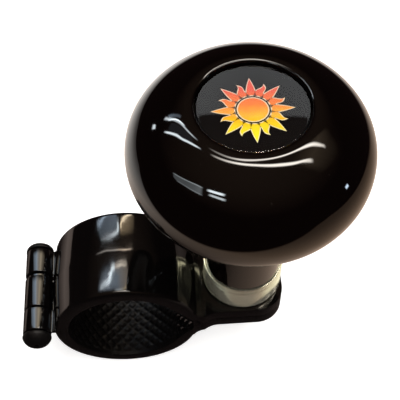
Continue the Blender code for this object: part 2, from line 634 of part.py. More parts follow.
def bearing_circlip(parent):
    """Internal retaining ring in the knob's groove, open at the back, with two eyes."""
    bottom = BEARING_TOP + GAP
    top = bottom + CIRCLIP_THICKNESS
    outer = BEARING_RADIUS + GAP + CIRCLIP_GROOVE - GAP
    inner = outer - CIRCLIP_WIDTH
    clip = turned("bearing_circlip", DARK_STEEL, flat_ring(inner, outer, bottom, top),
                  KNOB_STEPS, parent=parent)
    relief = CIRCLIP_THICKNESS / 20
    eye_orbit = inner + CIRCLIP_EYE_RADIUS / 4
    eye_angle = CIRCLIP_OPENING / 2 + CIRCLIP_EYE_RADIUS / eye_orbit
    wedge_reach = 2 * outer
    wedge = [(0.0, 0.0)]
    for angle in (math.pi / 2 - CIRCLIP_OPENING / 2, math.pi / 2, math.pi / 2 + CIRCLIP_OPENING / 2):
        wedge.append((wedge_reach * math.cos(angle), wedge_reach * math.sin(angle)))
    combine(clip, "DIFFERENCE", extruded("circlip_opening", None, wedge, bottom - CIRCLIP_THICKNESS,
                                         top + CIRCLIP_THICKNESS, location=(KNOB_X, 0.0, 0.0),
                                         cutter=True))
    for hand in (-1, 1):
        angle = math.pi / 2 + hand * eye_angle
        spot = (KNOB_X + eye_orbit * math.cos(angle), eye_orbit * math.sin(angle), 0.0)
        eye = turned(f"circlip_eye_{hand + 2}", None,
                     disc(CIRCLIP_EYE_RADIUS, bottom + relief, top - relief), EYE_STEPS,
                     closed=False, location=spot, cutter=True)
        combine(clip, "UNION", eye)
        hole = turned(f"circlip_hole_{hand + 2}", None,
                      disc(CIRCLIP_EYE_RADIUS / 2, bottom - CIRCLIP_THICKNESS,
                           top + CIRCLIP_THICKNESS), EYE_STEPS,
                      closed=False, location=spot, cutter=True)
        combine(clip, "DIFFERENCE", hole)


def knob_outline():
    """Outside of the knob, from the emblem's recess over the lip and down to the neck."""
    lip_centre = EMBLEM_RECESS_RADIUS + LIP_WIDTH / 2
    points = bend((EMBLEM_RECESS_RADIUS, LIP_TOP - LIP_HEIGHT), (EMBLEM_RECESS_RADIUS, LIP_TOP),
                  (lip_centre, LIP_TOP), 4)
    low = math.asin(LIP_OUTER_RADIUS / KNOB_RADIUS)
    upper_steps = 9
    for i in range(upper_steps):
        angle = low + (math.pi / 2 - low) * i / upper_steps
        radius = KNOB_RADIUS * math.sin(angle)
        points.append((radius, KNOB_EQUATOR + upper_curve_height(radius)))

    sweep = math.acos(UNDERSIDE_RADIUS / KNOB_RADIUS)
    lower_steps = 9
    for i in range(lower_steps):
        angle = sweep * i / lower_steps
        points.append((KNOB_RADIUS * math.cos(angle), KNOB_EQUATOR - KNOB_DROP * math.sin(angle)))
    foot = (UNDERSIDE_RADIUS, KNOB_EQUATOR - KNOB_DROP * math.sin(sweep))
    slope = (KNOB_DROP * math.cos(sweep)) / (KNOB_RADIUS * math.sin(sweep))
    corner = (NECK_RADIUS, foot[1] - slope * (UNDERSIDE_RADIUS - NECK_RADIUS))
    reach = math.dist(foot, corner)
    points += bend(foot, corner, (NECK_RADIUS, corner[1] - reach), 6)
    points += [(NECK_RADIUS, NECK_BOTTOM + GAP), (NECK_RADIUS - GAP, NECK_BOTTOM)]
    return points


def knob_shell(parent):
    """The moulded knob: dished top, mushroom body and neck, bored for its two bearings."""
    flange_pocket = FLANGE_RADIUS + GAP
    bush_pocket = BUSH_RADIUS + GAP
    bearing_pocket = BEARING_RADIUS + GAP
    body_bore = SHAFT_RADIUS + BODY_CLEARANCE
    clip_groove = bearing_pocket + CIRCLIP_GROOVE
    clip_top = BEARING_TOP + CIRCLIP_THICKNESS + 2 * GAP
    outline = knob_outline()
    outline += [(flange_pocket, NECK_BOTTOM), (flange_pocket, FLANGE_TOP + GAP)]
    outline += [(bush_pocket, FLANGE_TOP + GAP), (bush_pocket, BUSH_TOP + GAP)]
    outline += [(body_bore, BUSH_TOP + GAP), (body_bore, BEARING_SEAT)]
    outline += [(bearing_pocket, BEARING_SEAT), (bearing_pocket, BEARING_TOP)]
    outline += [(clip_groove, BEARING_TOP), (clip_groove, clip_top), (bearing_pocket, clip_top)]
    outline += [(bearing_pocket, DISH_FLOOR), (EMBLEM_RECESS_RADIUS, DISH_FLOOR)]
    turned("knob_shell", KNOB_BLACK, outline, KNOB_STEPS, parent=parent)


def emblem(parent):
    """Printed disc in the knob's recess, under a clear lens-shaped dome."""
    disc_bottom = DISH_FLOOR + GAP
    disc_top = disc_bottom + EMBLEM_DISC_THICKNESS
    turned("emblem_disc", PRINT, disc(EMBLEM_RADIUS, disc_bottom, disc_top), KNOB_STEPS,
           closed=False, parent=parent)
    dome_bottom = disc_top + GAP
    edge_top = dome_bottom + EMBLEM_DOME_EDGE
    dome = []
    dome_steps = 5
    for i in range(dome_steps + 1):
        share = i / dome_steps
        dome.append((EMBLEM_RADIUS * share, edge_top + EMBLEM_DOME_RISE * (1 - share ** 2)))
    dome += [(EMBLEM_RADIUS, dome_bottom), (0.0, dome_bottom)]
    turned("emblem_dome", CLEAR, dome, KNOB_STEPS, closed=False, parent=parent)


def build():
    knob_axis = axis_empty("knob_axis", (KNOB_X, 0.0, 0.0))
    cage_axis = axis_empty("cage_axis", (KNOB_X, 0.0, 0.0))
    hinge_axis = axis_empty("hinge_axis", (HINGE_X, 0.0, 0.0))
    bolt_axis = axis_empty("bolt_axis", (KNOB_X, 0.0, 0.0))

    back, middle, front = knuckle_spans()
    clamp_half("clamp_upper", 1, [back, front], SPIGOT_RADIUS + GAP)
    shoulder = (middle[1] - KNUCKLE_ROUND - GAP, back[0] - GAP)
    clamp_half("clamp_lower", -1, [middle], BOLT_CREST_RADIUS + BOLT_HOLE_CLEARANCE, hinge_axis, shoulder)
    hinge_pin()
    hinge_pin_cap()
    spindle()
    spindle_fasteners()
    clamp_bolt(bolt_axis)
    thrust_and_bush(knob_axis)
    bearing(knob_axis, cage_axis)
    bearing_circlip(knob_axis)
    knob_shell(knob_axis)
    emblem(knob_axis)


build()
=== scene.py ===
"""Looks of the steering wheel spinner knob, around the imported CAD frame.

Lengths are in metres in the part's frame: the origin is the centre of the rim clamp's bore, +Y runs
along the bore, +X points to the knob and +Z is up along the knob's axis. Azimuths run from +Y
towards +X, in degrees, and elevations are above the horizon.
"""
import json
import math

import bmesh
import bpy
from mathutils import Matrix, Vector

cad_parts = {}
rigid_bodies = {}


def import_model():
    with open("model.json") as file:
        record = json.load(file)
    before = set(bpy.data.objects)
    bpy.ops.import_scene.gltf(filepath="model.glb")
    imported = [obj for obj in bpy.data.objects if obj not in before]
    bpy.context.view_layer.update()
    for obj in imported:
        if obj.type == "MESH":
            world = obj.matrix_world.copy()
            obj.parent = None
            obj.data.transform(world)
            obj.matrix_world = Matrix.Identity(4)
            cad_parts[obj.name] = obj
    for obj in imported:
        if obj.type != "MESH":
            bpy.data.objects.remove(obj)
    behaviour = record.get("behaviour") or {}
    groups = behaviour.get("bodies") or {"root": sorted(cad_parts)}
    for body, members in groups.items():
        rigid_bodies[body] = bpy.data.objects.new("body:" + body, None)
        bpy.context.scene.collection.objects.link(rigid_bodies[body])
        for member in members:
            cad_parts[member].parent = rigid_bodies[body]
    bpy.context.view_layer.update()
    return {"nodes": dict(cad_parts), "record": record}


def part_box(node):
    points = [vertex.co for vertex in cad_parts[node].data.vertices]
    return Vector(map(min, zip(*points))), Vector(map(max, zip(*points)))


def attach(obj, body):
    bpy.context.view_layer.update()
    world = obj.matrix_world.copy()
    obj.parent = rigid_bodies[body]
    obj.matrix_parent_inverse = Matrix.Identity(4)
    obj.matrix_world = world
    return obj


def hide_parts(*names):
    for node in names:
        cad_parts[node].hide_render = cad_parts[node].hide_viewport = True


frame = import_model()
NODES = frame["nodes"]
SLOTS = {part["node"]: part["material_slot"] for part in frame["record"]["subparts"]}

GAP = 0.0003                     # clearance between pieces

# Places that the frame gives
KNOB_LOW, KNOB_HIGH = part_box("knob_shell")
KNOB_X = (KNOB_LOW.x + KNOB_HIGH.x) / 2
KNOB_RADIUS = (KNOB_HIGH.x - KNOB_LOW.x) / 2
NECK_BOTTOM = KNOB_LOW.z
LIP_TOP = KNOB_HIGH.z
EMBLEM_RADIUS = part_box("emblem_disc")[1].x - KNOB_X
RECESS_RADIUS = EMBLEM_RADIUS + GAP
DISC_BOTTOM, DISC_TOP = (corner.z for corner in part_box("emblem_disc"))
DOME_BOTTOM, DOME_TOP = (corner.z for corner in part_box("emblem_dome"))
SPINDLE_BOTTOM, SPINDLE_TOP = (corner.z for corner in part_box("spindle"))
COLLAR_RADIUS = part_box("spindle")[1].x - KNOB_X
LUG_END_X, RING_HALF_WIDTH, RING_CREST_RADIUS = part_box("clamp_upper")[1]
CAP_LOW, CAP_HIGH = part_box("hinge_pin_cap")
CAP_BACK = CAP_HIGH.y
HINGE_X = (CAP_LOW.x + CAP_HIGH.x) / 2
PIN_FRONT, PIN_BACK = (corner.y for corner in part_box("hinge_pin"))
BOLT_HEAD_BOTTOM, BOLT_TIP = (corner.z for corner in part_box("clamp_bolt"))

# Shapes that the frame's boxes don't give
PARTING = 0.00015                # half the gap between the clamp's halves
KNOB_EQUATOR = 0.0620
KNOB_RISE = 0.0190
KNOB_DROP = 0.0199
KNOB_FULLNESS = 2.15
NECK_RADIUS = 0.0107
UNDERSIDE_RADIUS = 0.0160
LIP_WIDTH = 0.0025
LIP_HEIGHT = 0.0007
LIP_CREST_RADIUS = RECESS_RADIUS + LIP_WIDTH / 2
# The knob's slope, in degrees, at radii outside the lip
CREST_SLOPES = [(0.0158, 12.0), (0.0171, 20.0), (0.0185, 25.5), (0.0205, 29.0), (0.0222, 32.5)]
BORE_RADIUS = 0.0164
RING_DRAFT = 0.00055
RING_RADIUS = RING_CREST_RADIUS - RING_DRAFT
RING_EDGE_ROUND = 0.0013
MID_WALL = (BORE_RADIUS + RING_RADIUS) / 2
# The bore runs straight to a corner at the lugs, from the angle where the straight touches it
NOTCH_TIP = RING_RADIUS + 0.0004
NOTCH_ANGLE = math.acos(BORE_RADIUS / NOTCH_TIP)
LUG_THICKNESS = 0.0036
LUG_TOP = PARTING + LUG_THICKNESS
LUG_HALF_WIDTH = 0.0118
LUG_CORNER = 0.0076
LUG_FILLET = 0.0040
LUG_INSET = 0.0004
LUG_EDGE_ROUND = 0.0009
BARREL_RADIUS = 0.0040
SHOULDER_RADIUS = 0.0034
WEB_HEIGHT = 0.0020
WEB_HOLLOW = 0.0016
KNUCKLE_ROUND = 0.00045
MIDDLE_KNUCKLE_Y = -0.0010
MIDDLE_KNUCKLE_WIDTH = 0.0101
STEP_WIDTH = 0.0012              # from the middle knuckle to the back one
TONGUE_REACH = 0.0014            # of the step's web, on under the back knuckle
PIN_RADIUS = 0.0019
PIN_HEAD_RADIUS = 0.0041
SPIGOT_RADIUS = 0.0055
TAPPED_RADIUS = 0.0041
TAPPED_DEPTH = 0.0125
SHAFT_RADIUS = 0.0052
JOURNAL_RADIUS = 0.0037
COLLAR_BOTTOM = LUG_TOP + GAP
COLLAR_HEIGHT = 0.0094
COLLAR_TOP = COLLAR_BOTTOM + COLLAR_HEIGHT
COLLAR_LIP = 0.0013
BOLT_HOLE_RADIUS = 0.0044
RAY_TIP = 0.0092


# Curves

def arc(centre, radius, start, end, count):
    """Points on an arc, from one angle to another in degrees, with both ends."""
    points = []
    for i in range(count):
        angle = math.radians(start + (end - start) * i / (count - 1))
        points.append((centre[0] + radius * math.cos(angle), centre[1] + radius * math.sin(angle)))
    return points


def bend(start, corner, end, count=8):
    """Points on a smooth bend between two straight runs that meet at a corner."""
    points = []
    for i in range(count):
        t = i / (count - 1)
        points.append(tuple((1 - t) ** 2 * a + 2 * t * (1 - t) * b + t ** 2 * c
                            for a, b, c in zip(start, corner, end)))
    return points


def rounded(corners, closed=False, count=6):
    """An outline whose corners, given as (u, v, radius), are rounded where the radius isn't 0."""
    points = []
    total = len(corners)
    for i, (u, v, radius) in enumerate(corners):
        if radius == 0 or (not closed and i in (0, total - 1)):
            points.append((u, v))
            continue
        here = Vector((u, v))
        before = Vector(corners[i - 1][:2]) - here
        after = Vector(corners[(i + 1) % total][:2]) - here
        cut = min(radius, before.length * 0.45, after.length * 0.45)
        start = here + before.normalized() * cut
        end = here + after.normalized() * cut
        points += bend(tuple(start), (u, v), tuple(end), count)
    return points


# Meshes

def placed(name, data, location=(0.0, 0.0, 0.0)):
    """A new object in the scene for a mesh, a light or a camera."""
    obj = bpy.data.objects.new(name, data)
    obj.location = location
    bpy.context.scene.collection.objects.link(obj)
    return obj


def finished(name, mesh, sharp, x=0.0):
    """An object for a mesh, shaded smooth apart from edges sharper than the angle."""
    mesh.shade_smooth()
    mesh.set_sharp_from_angle(angle=math.radians(sharp))
    return placed(name, mesh, (x, 0.0, 0.0))


def solid_mesh(name, verts, faces):
    """A mesh with its faces turned so that they all look outwards."""
    mesh = bpy.data.meshes.new(name)
    mesh.from_pydata(verts, [], faces)
    work = bmesh.new()
    work.from_mesh(mesh)
    bmesh.ops.recalc_face_normals(work, faces=work.faces)
    work.to_mesh(mesh)
    work.free()
    return mesh


def lathe_mesh(name, outline, steps, closed=False, axis="Z", swell=None):
    """Outline points (radius, height) swept round an axis. Its ends lie on the axis if it is open.

    swell(radius, height, angle) may give each point its own radius, such as for a thread.
    """
    verts, rings = [], []
    for radius, height in outline:
        ring = []
        for i in range(steps if radius > 1e-7 else 1):
            angle = math.tau * i / steps
            r = swell(radius, height, angle) if swell and radius > 1e-7 else radius
            u, v = r * math.cos(angle), r * math.sin(angle)
            ring.append(len(verts))
            verts.append((u, v, height) if axis == "Z" else (u, height, -v))
        rings.append(ring)
    faces = []
    pairs = list(zip(rings, rings[1:]))
    if closed:
        pairs.append((rings[-1], rings[0]))
    for upper, lower in pairs:
        for i in range(steps):
            j = (i + 1) % steps
            quad = [upper[i % len(upper)], upper[j % len(upper)],
                    lower[j % len(lower)], lower[i % len(lower)]]
            corners = list(dict.fromkeys(quad))
            if len(corners) > 2:
                faces.append(corners)
    return solid_mesh(name, verts, faces)



def prism_mesh(name, outline, low, high, axis="Z"):
    """A closed outline of (u, v), pushed from low to high along Z, or along Y for one in XZ."""
    def corner(u, v, w):
        return (u, v, w) if axis == "Z" else (u, w, v)

    count = len(outline)
    verts = [corner(u, v, low) for u, v in outline] + [corner(u, v, high) for u, v in outline]
    faces = [list(range(count)), list(range(2 * count - 1, count - 1, -1))]
    faces += [[i, (i + 1) % count, count + (i + 1) % count, count + i] for i in range(count)]
    return solid_mesh(name, verts, faces)


def worked(name, mesh, steps):
    """The mesh after modifiers: each step is ("cut" or "keep", other mesh) or ("round", width)."""
    obj = placed(name, mesh)
    helpers = []
    for action, value in steps:
        if action == "round":
            bevel = obj.modifiers.new("round", "BEVEL")
            bevel.width = value
            bevel.segments = 4
            bevel.limit_method = "ANGLE"
            bevel.angle_limit = math.radians(40)
            continue
        helpers.append(placed(name + "_" + action, value))
        boolean = obj.modifiers.new(action, "BOOLEAN")
        boolean.operation = "DIFFERENCE" if action == "cut" else "INTERSECT"
        boolean.solver = "EXACT"
        boolean.object = helpers[-1]
    bpy.context.view_layer.update()
    evaluated = obj.evaluated_get(bpy.context.evaluated_depsgraph_get())
    result = bpy.data.meshes.new_from_object(evaluated)
    for spare in [obj] + helpers:
        bpy.data.objects.remove(spare, do_unlink=True)
    return result


def joined(name, meshes, x=0.0):
    """One object with all the meshes, which may run into each other."""
    work = bmesh.new()
    for mesh in meshes:
        work.from_mesh(mesh)
    total = bpy.data.meshes.new(name)
    work.to_mesh(total)
    work.free()
    return finished(name, total, 30.0, x)


def drill_mesh(name, radius, x, axis="Z"):
    """A cylinder that cuts a hole at x, longer than what it goes through."""
    reach = 0.02
    outline = [(0.0, reach), (radius, reach), (radius, -reach), (0.0, -reach)]
    mesh = lathe_mesh(name, outline, 96, axis=axis)
    mesh.transform(Matrix.Translation((x, 0.0, 0.0)))
    return mesh


def dress(obj, material, body, *nodes):
    """Give a piece its material and body, and hide the CAD nodes whose place it takes."""
    obj.data.materials.clear()
    obj.data.materials.append(material)
    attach(obj, body)
    if nodes:
        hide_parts(*nodes)


def turned(name, node, outline, steps, sharp, material, body, x=KNOB_X, **options):
    """A piece made on a lathe for a CAD node, on the knob's axis or on another one at x."""
    mesh = lathe_mesh(name, outline, steps, **options)
    dress(finished(name, mesh, sharp, x), material, body, node)


# Materials

def set_inputs(node, values):
    """Give inputs, by name or number, a number, a colour, a vector or another node's output."""
    for key, value in values.items():
        socket = node.inputs[key]
        if isinstance(value, bpy.types.NodeSocket):
            node.id_data.links.new(value, socket)
        elif socket.type == "RGBA":
            socket.default_value = (*value, 1.0)
        else:
            socket.default_value = value


def add_node(tree, kind, values=None, **settings):
    """A shader node with its settings, such as its operation, and the values of its inputs."""
    node = tree.nodes.new("ShaderNode" + kind)
    for name, setting in settings.items():
        setattr(node, name, setting)
    set_inputs(node, values or {})
    return node


def blank_material(name, base, roughness, metallic=0.0):
    """A Principled material with uniform values, and its tree and shader for the detail."""
    mat = bpy.data.materials.new(name)
    mat.use_nodes = True
    shader = mat.node_tree.nodes["Principled BSDF"]
    set_inputs(shader, {"Base Color": base, "Roughness": roughness, "Metallic": metallic, "IOR": 1.5})
    return mat, mat.node_tree, shader


def emptied_tree(owner):
    """The node tree of a new material or world, without the nodes that it starts with."""
    owner.use_nodes = True
    owner.node_tree.nodes.clear()
    return owner.node_tree


def object_place(tree, stretch=(1.0, 1.0, 1.0)):
    """The place on the object, stretched along its axes."""
    place = add_node(tree, "TexCoord").outputs["Object"]
    return add_node(tree, "Mapping", {"Vector": place, "Scale": stretch}).outputs["Vector"]


def coordinate(tree, axis, kind="Object"):
    """One coordinate of the place on the object, or of another kind of place."""
    place = add_node(tree, "TexCoord").outputs[kind]
    return add_node(tree, "SeparateXYZ", {"Vector": place}).outputs[axis]


def noise(tree, scale, detail=2.0, stretch=(1.0, 1.0, 1.0)):
    """Noise over the object, with scale in cells per metre."""
    values = {"Vector": object_place(tree, stretch), "Scale": scale, "Detail": detail}
    return add_node(tree, "TexNoise", values).outputs["Fac"]


def mapped(tree, value, low, high, to_low=0.0, to_high=1.0):
    """The value carried over from one range to another, and held at its ends."""
    return add_node(tree, "MapRange", {"Value": value, "From Min": low, "From Max": high,
                                       "To Min": to_low, "To Max": to_high}).outputs["Result"]


def math_node(tree, operation, first, second=0.0):
    return add_node(tree, "Math", {0: first, 1: second}, operation=operation).outputs["Value"]


def vector_math(tree, operation, first, second=(0.0, 0.0, 0.0)):
    return add_node(tree, "VectorMath", {0: first, 1: second}, operation=operation).outputs["Value"]


def times(tree, *factors):
    product = factors[0]
    for factor in factors[1:]:
        product = math_node(tree, "MULTIPLY", product, factor)
    return product


def mixed_colour(tree, share, first, second):
    mix = add_node(tree, "Mix", {"Factor": share, "A": first, "B": second}, data_type="RGBA")
    return mix.outputs["Result"]


def bumped(tree, shader, height, distance, below=None):
    """Bend the shader's normal by a height, over the normal of an earlier bump if there is one."""
    bump = add_node(tree, "Bump", {"Height": height, "Distance": distance})
    if below is not None:
        set_inputs(bump, {"Normal": below})
    set_inputs(shader, {"Normal": bump.outputs["Normal"]})
    return bump.outputs["Normal"]


def knob_plastic():
    """Polished warm black plastic, with a trace of dust and wiping marks."""
    black = (0.0012, 0.0006, 0.0005)
    mat, tree, shader = blank_material("knob_gloss_black", black, 0.035)
    dust = mapped(tree, noise(tree, 900.0, 3.0), 0.72, 0.80)
    patches = mapped(tree, noise(tree, 45.0), 0.45, 0.7)
    wiping = noise(tree, 60.0, 4.0, (1.0, 3.0, 1.0))
    set_inputs(shader, {
        "Base Color": mixed_colour(tree, times(tree, dust, patches), black, (0.02, 0.016, 0.014)),
        "Roughness": mapped(tree, wiping, 0.35, 0.75, 0.025, 0.06)})
    return mat


def cast_paint():
    """Gloss black paint over a casting, which follows the metal's gentle waves. The bore is duller."""
    mat, tree, shader = blank_material("black_cast_paint", (0.0020, 0.0017, 0.0017), 0.10)
    waves = bumped(tree, shader, noise(tree, 220.0, 1.0), 0.00002)
    bumped(tree, shader, noise(tree, 1500.0, 1.0), 0.000002, waves)
    patchy = mapped(tree, noise(tree, 120.0, 3.0), 0.3, 0.7, 0.05, 0.10)
    from_axis = vector_math(tree, "LENGTH", object_place(tree, (1.0, 0.0, 1.0)))
    in_bore = mapped(tree, from_axis, BORE_RADIUS + 0.0002, BORE_RADIUS)
    set_inputs(shader, {
        "Roughness": math_node(tree, "ADD", patchy, times(tree, in_bore, 0.4)),
        "Specular IOR Level": mapped(tree, in_bore, 0.0, 1.0, 0.5, 0.3)})
    return mat


def plated_steel(name, base, roughness, lines=6000.0, line_depth=0.000004, metallic=1.0):
    """Turned and plated steel: fine lines round the axis and a little unevenness in the plating."""
    mat, tree, shader = blank_material(name, base, roughness, metallic)
    bumped(tree, shader, noise(tree, lines, 2.0, (0.02, 0.02, 1.0)), line_depth)
    dull = tuple(value * shade for value, shade in zip(base, (0.80, 0.82, 0.80)))
    uneven = noise(tree, 400.0, 3.0)
    set_inputs(shader, {
        "Anisotropic": 0.5,
        "Tangent": add_node(tree, "Tangent", direction_type="RADIAL", axis="Z").outputs["Tangent"],
        "Base Color": mixed_colour(tree, noise(tree, 160.0), dull, base),
        "Roughness": mapped(tree, uneven, 0.3, 0.7, roughness - 0.05, roughness + 0.06)})
    return mat


def moulded(name, base, roughness, grain=1200.0, depth=0.00001, metallic=0.0, specular=0.5):
    """A plain moulded or sintered surface with a fine grain."""
    mat, tree, shader = blank_material(name, base, roughness, metallic)
    bumped(tree, shader, noise(tree, grain, 3.0), depth)
    shade = tuple(value * 0.85 for value in base)
    set_inputs(shader, {"Specular IOR Level": specular,
                        "Base Color": mixed_colour(tree, noise(tree, 300.0), shade, base)})
    return mat


def clear_resin():
    """The emblem's dome: it reflects by Fresnel, and shows the print behind it as it is."""
    mat = bpy.data.materials.new("clear_dome")
    tree = emptied_tree(mat)
    fresnel = add_node(tree, "Fresnel", {"IOR": 1.5}).outputs["Fac"]
    inside = add_node(tree, "NewGeometry").outputs["Backfacing"]
    share = times(tree, fresnel, math_node(tree, "SUBTRACT", 1.0, inside))
    clear = add_node(tree, "BsdfTransparent", {"Color": (0.97, 0.97, 0.96)}).outputs["BSDF"]
    gloss = add_node(tree, "BsdfGlossy", {"Roughness": 0.02}).outputs["BSDF"]
    mix = add_node(tree, "MixShader", {"Fac": share, 1: clear, 2: gloss}).outputs["Shader"]
    add_node(tree, "OutputMaterial", {"Surface": mix})
    return mat


def ink(name, stops):
    """Printed ink whose colour runs along Y over the emblem, through stops of (share, colour).

    It lies in the resin, so it has no shine of its own.
    """
    mat, tree, shader = blank_material(name, stops[0][1], 0.35)
    share = mapped(tree, coordinate(tree, "Y"), -RAY_TIP, RAY_TIP)
    wander = mapped(tree, noise(tree, 500.0, 1.0), 0.0, 1.0, -0.06, 0.06)
    ramp = add_node(tree, "ValToRGB", {"Fac": math_node(tree, "ADD", share, wander)})
    elements = ramp.color_ramp.elements
    elements.remove(elements[1])
    for i, (place, colour) in enumerate(stops):
        stop = elements[0] if i == 0 else elements.new(place)
        stop.position = place
        stop.color = (*colour, 1.0)
    set_inputs(shader, {"Specular IOR Level": 0.0, "Base Color": ramp.outputs["Color"]})
    return mat


PLASTIC = knob_plastic()
PAINT = cast_paint()
ZINC = plated_steel("zinc_plate", (0.84, 0.80, 0.65), 0.21, metallic=0.84)
STEEL = plated_steel("bearing_steel", (0.62, 0.62, 0.62), 0.16, 9000.0, 0.000002)
SPRING = moulded("spring_steel", (0.06, 0.06, 0.065), 0.35, 2000.0, 0.000006, 1.0)
NYLON = moulded("white_nylon", (0.82, 0.80, 0.74), 0.45)
BRONZE = moulded("bush_bronze", (0.52, 0.33, 0.16), 0.42, 3000.0, 0.00001, 1.0)
PRINT = moulded("emblem_print", (0.0035, 0.0035, 0.004), 0.30, 4000.0, 0.000002, specular=0.0)
RESIN = clear_resin()
SUN_INK = ink("sun_ink", [(0.08, (0.95, 0.90, 0.03)), (0.36, (0.95, 0.52, 0.02)),
                          (0.58, (0.90, 0.22, 0.03)), (0.85, (0.78, 0.10, 0.07))])
EDGE_INK = ink("edge_ink", [(0.0, (0.95, 0.85, 0.45)), (0.6, (0.85, 0.62, 0.42)),
                            (1.0, (0.80, 0.55, 0.45))])


# Knob

def knob_curve(radius):
    """Height of the knob's upper curve at a radius."""
    share = (radius / KNOB_RADIUS) ** KNOB_FULLNESS
    return KNOB_EQUATOR + KNOB_RISE * (1 - share) ** (1 / KNOB_FULLNESS)


def crest_curve():
    """Points from the crest of the lip outwards, from its slope at a few radii, to the upper curve.

    The height that is left over where the two meet is spread along the way.
    """
    crest = LIP_CREST_RADIUS
    radii = [crest] + [radius for radius, slope in CREST_SLOPES]
    slopes = [0.0] + [slope for radius, slope in CREST_SLOPES]
    steps = 40
    step = (radii[-1] - crest) / steps
    height = LIP_TOP
    points = []
    for i in range(steps):
        radius = crest + step * i
        points.append([radius, height])
        middle = radius + step / 2
        k = max(j for j in range(len(radii) - 1) if radii[j] <= middle)
        share = (middle - radii[k]) / (radii[k + 1] - radii[k])
        slope = slopes[k] + (slopes[k + 1] - slopes[k]) * share
        height -= step * math.tan(math.radians(slope))
    left_over = knob_curve(radii[-1]) - height
    for point in points:
        share = (point[0] - crest) / (radii[-1] - crest)
        point[1] += left_over * share * share * (3 - 2 * share)
    return [tuple(point) for point in points]


def knob_outside():
    """The knob's outline from the emblem's recess over the lip and down to the neck."""
    points = bend((RECESS_RADIUS, LIP_TOP - LIP_HEIGHT), (RECESS_RADIUS, LIP_TOP),
                  (LIP_CREST_RADIUS, LIP_TOP), 14)[:-1]
    points += crest_curve()
    low = math.asin(CREST_SLOPES[-1][0] / KNOB_RADIUS)
    upper_steps = 60
    for i in range(upper_steps):
        radius = KNOB_RADIUS * math.sin(low + (math.pi / 2 - low) * i / upper_steps)
        points.append((radius, knob_curve(radius)))
    sweep = math.acos(UNDERSIDE_RADIUS / KNOB_RADIUS)
    lower_steps = 40
    for i in range(lower_steps):
        angle = sweep * i / lower_steps
        points.append((KNOB_RADIUS * math.cos(angle), KNOB_EQUATOR - KNOB_DROP * math.sin(angle)))
    foot = (UNDERSIDE_RADIUS, KNOB_EQUATOR - KNOB_DROP * math.sin(sweep))
    slope = (KNOB_DROP * math.cos(sweep)) / (KNOB_RADIUS * math.sin(sweep))
    corner = (NECK_RADIUS, foot[1] - slope * (UNDERSIDE_RADIUS - NECK_RADIUS))
    reach = math.dist(foot, corner)
    points += bend(foot, corner, (NECK_RADIUS, corner[1] - reach), 20)
    points += bend((NECK_RADIUS, NECK_BOTTOM + GAP), (NECK_RADIUS, NECK_BOTTOM),
                   (NECK_RADIUS - GAP, NECK_BOTTOM), 5)
    return points


def knob():
    """The knob with its recess, and the hollows for its bearing and bush."""
    shaft_room = 0.0010
    bush_wall = 0.0020
    flange_thickness = 0.0011
    floor = DISC_BOTTOM - GAP
    bush_low, bush_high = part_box("neck_bush")
    race_low, race_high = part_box("bearing_outer_race")
    clip_low, clip_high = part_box("bearing_circlip")
    flange, bearing, clip_groove = (high.x - KNOB_X + GAP for high in (bush_high, race_high, clip_high))
    seat = race_low.z - GAP
    body_bore = SHAFT_RADIUS + shaft_room
    bush_radius = SHAFT_RADIUS + GAP + bush_wall + GAP
    flange_top = bush_low.z + flange_thickness + GAP
    bush_top = bush_high.z + GAP
    outline = knob_outside()
    outline += [(flange, NECK_BOTTOM), (flange, flange_top), (bush_radius, flange_top)]
    outline += [(bush_radius, bush_top), (body_bore, bush_top), (body_bore, seat), (bearing, seat)]
    outline += [(bearing, clip_low.z - GAP), (clip_groove, clip_low.z - GAP)]
    outline += [(clip_groove, clip_high.z + GAP), (bearing, clip_high.z + GAP), (bearing, floor)]
    outline += [(RECESS_RADIUS, floor)]
    turned("knob_body", "knob_shell", outline, 288, 32.0, PLASTIC, "knob", closed=True)


# Emblem: a sun with straight and wavy rays, printed under the dome

SUN_RADIUS = 0.0034
RAY_FOOT = 0.0043
SHORT_RAY_TIP = 0.0078
RAY_HALF_WIDTH = 0.00105
WAVE = 0.00055
RAY_COUNT = 16
OUTLINE_WIDTH = 0.00028
INK_HEIGHT = 0.00002


def ray_outline(angle, tip, wave, grow):
    """A tapered ray from the sun's rim to its tip, made wider all round by grow."""
    steps = 18
    left, right = [], []
    foot = RAY_FOOT - grow
    reach = tip + 1.6 * grow
    for i in range(steps):
        t = i / steps
        along = foot + (reach - foot) * t
        half = (RAY_HALF_WIDTH + grow) * (1 - t ** 1.7)
        shift = wave * math.sin(math.tau * t) * t
        left.append((along, shift + half))
        right.append((along, shift - half))
    points = left + [(reach, 0.0)] + right[::-1]
    turn = Matrix.Rotation(angle, 2)
    return [tuple(turn @ Vector(point)) for point in points]


def printed(name, outlines, height, material):
    """Flat printed shapes just over the disc."""
    work = bmesh.new()
    for outline in outlines:
        work.faces.new([work.verts.new((u, v, height)) for u, v in outline])
    bmesh.ops.recalc_face_normals(work, faces=work.faces)
    for face in work.faces:
        if face.normal.z < 0:
            face.normal_flip()
    bmesh.ops.triangulate(work, faces=work.faces)
    mesh = bpy.data.meshes.new(name)
    work.to_mesh(mesh)
    work.free()
    dress(placed(name, mesh, (KNOB_X, 0.0, 0.0)), material, "knob")


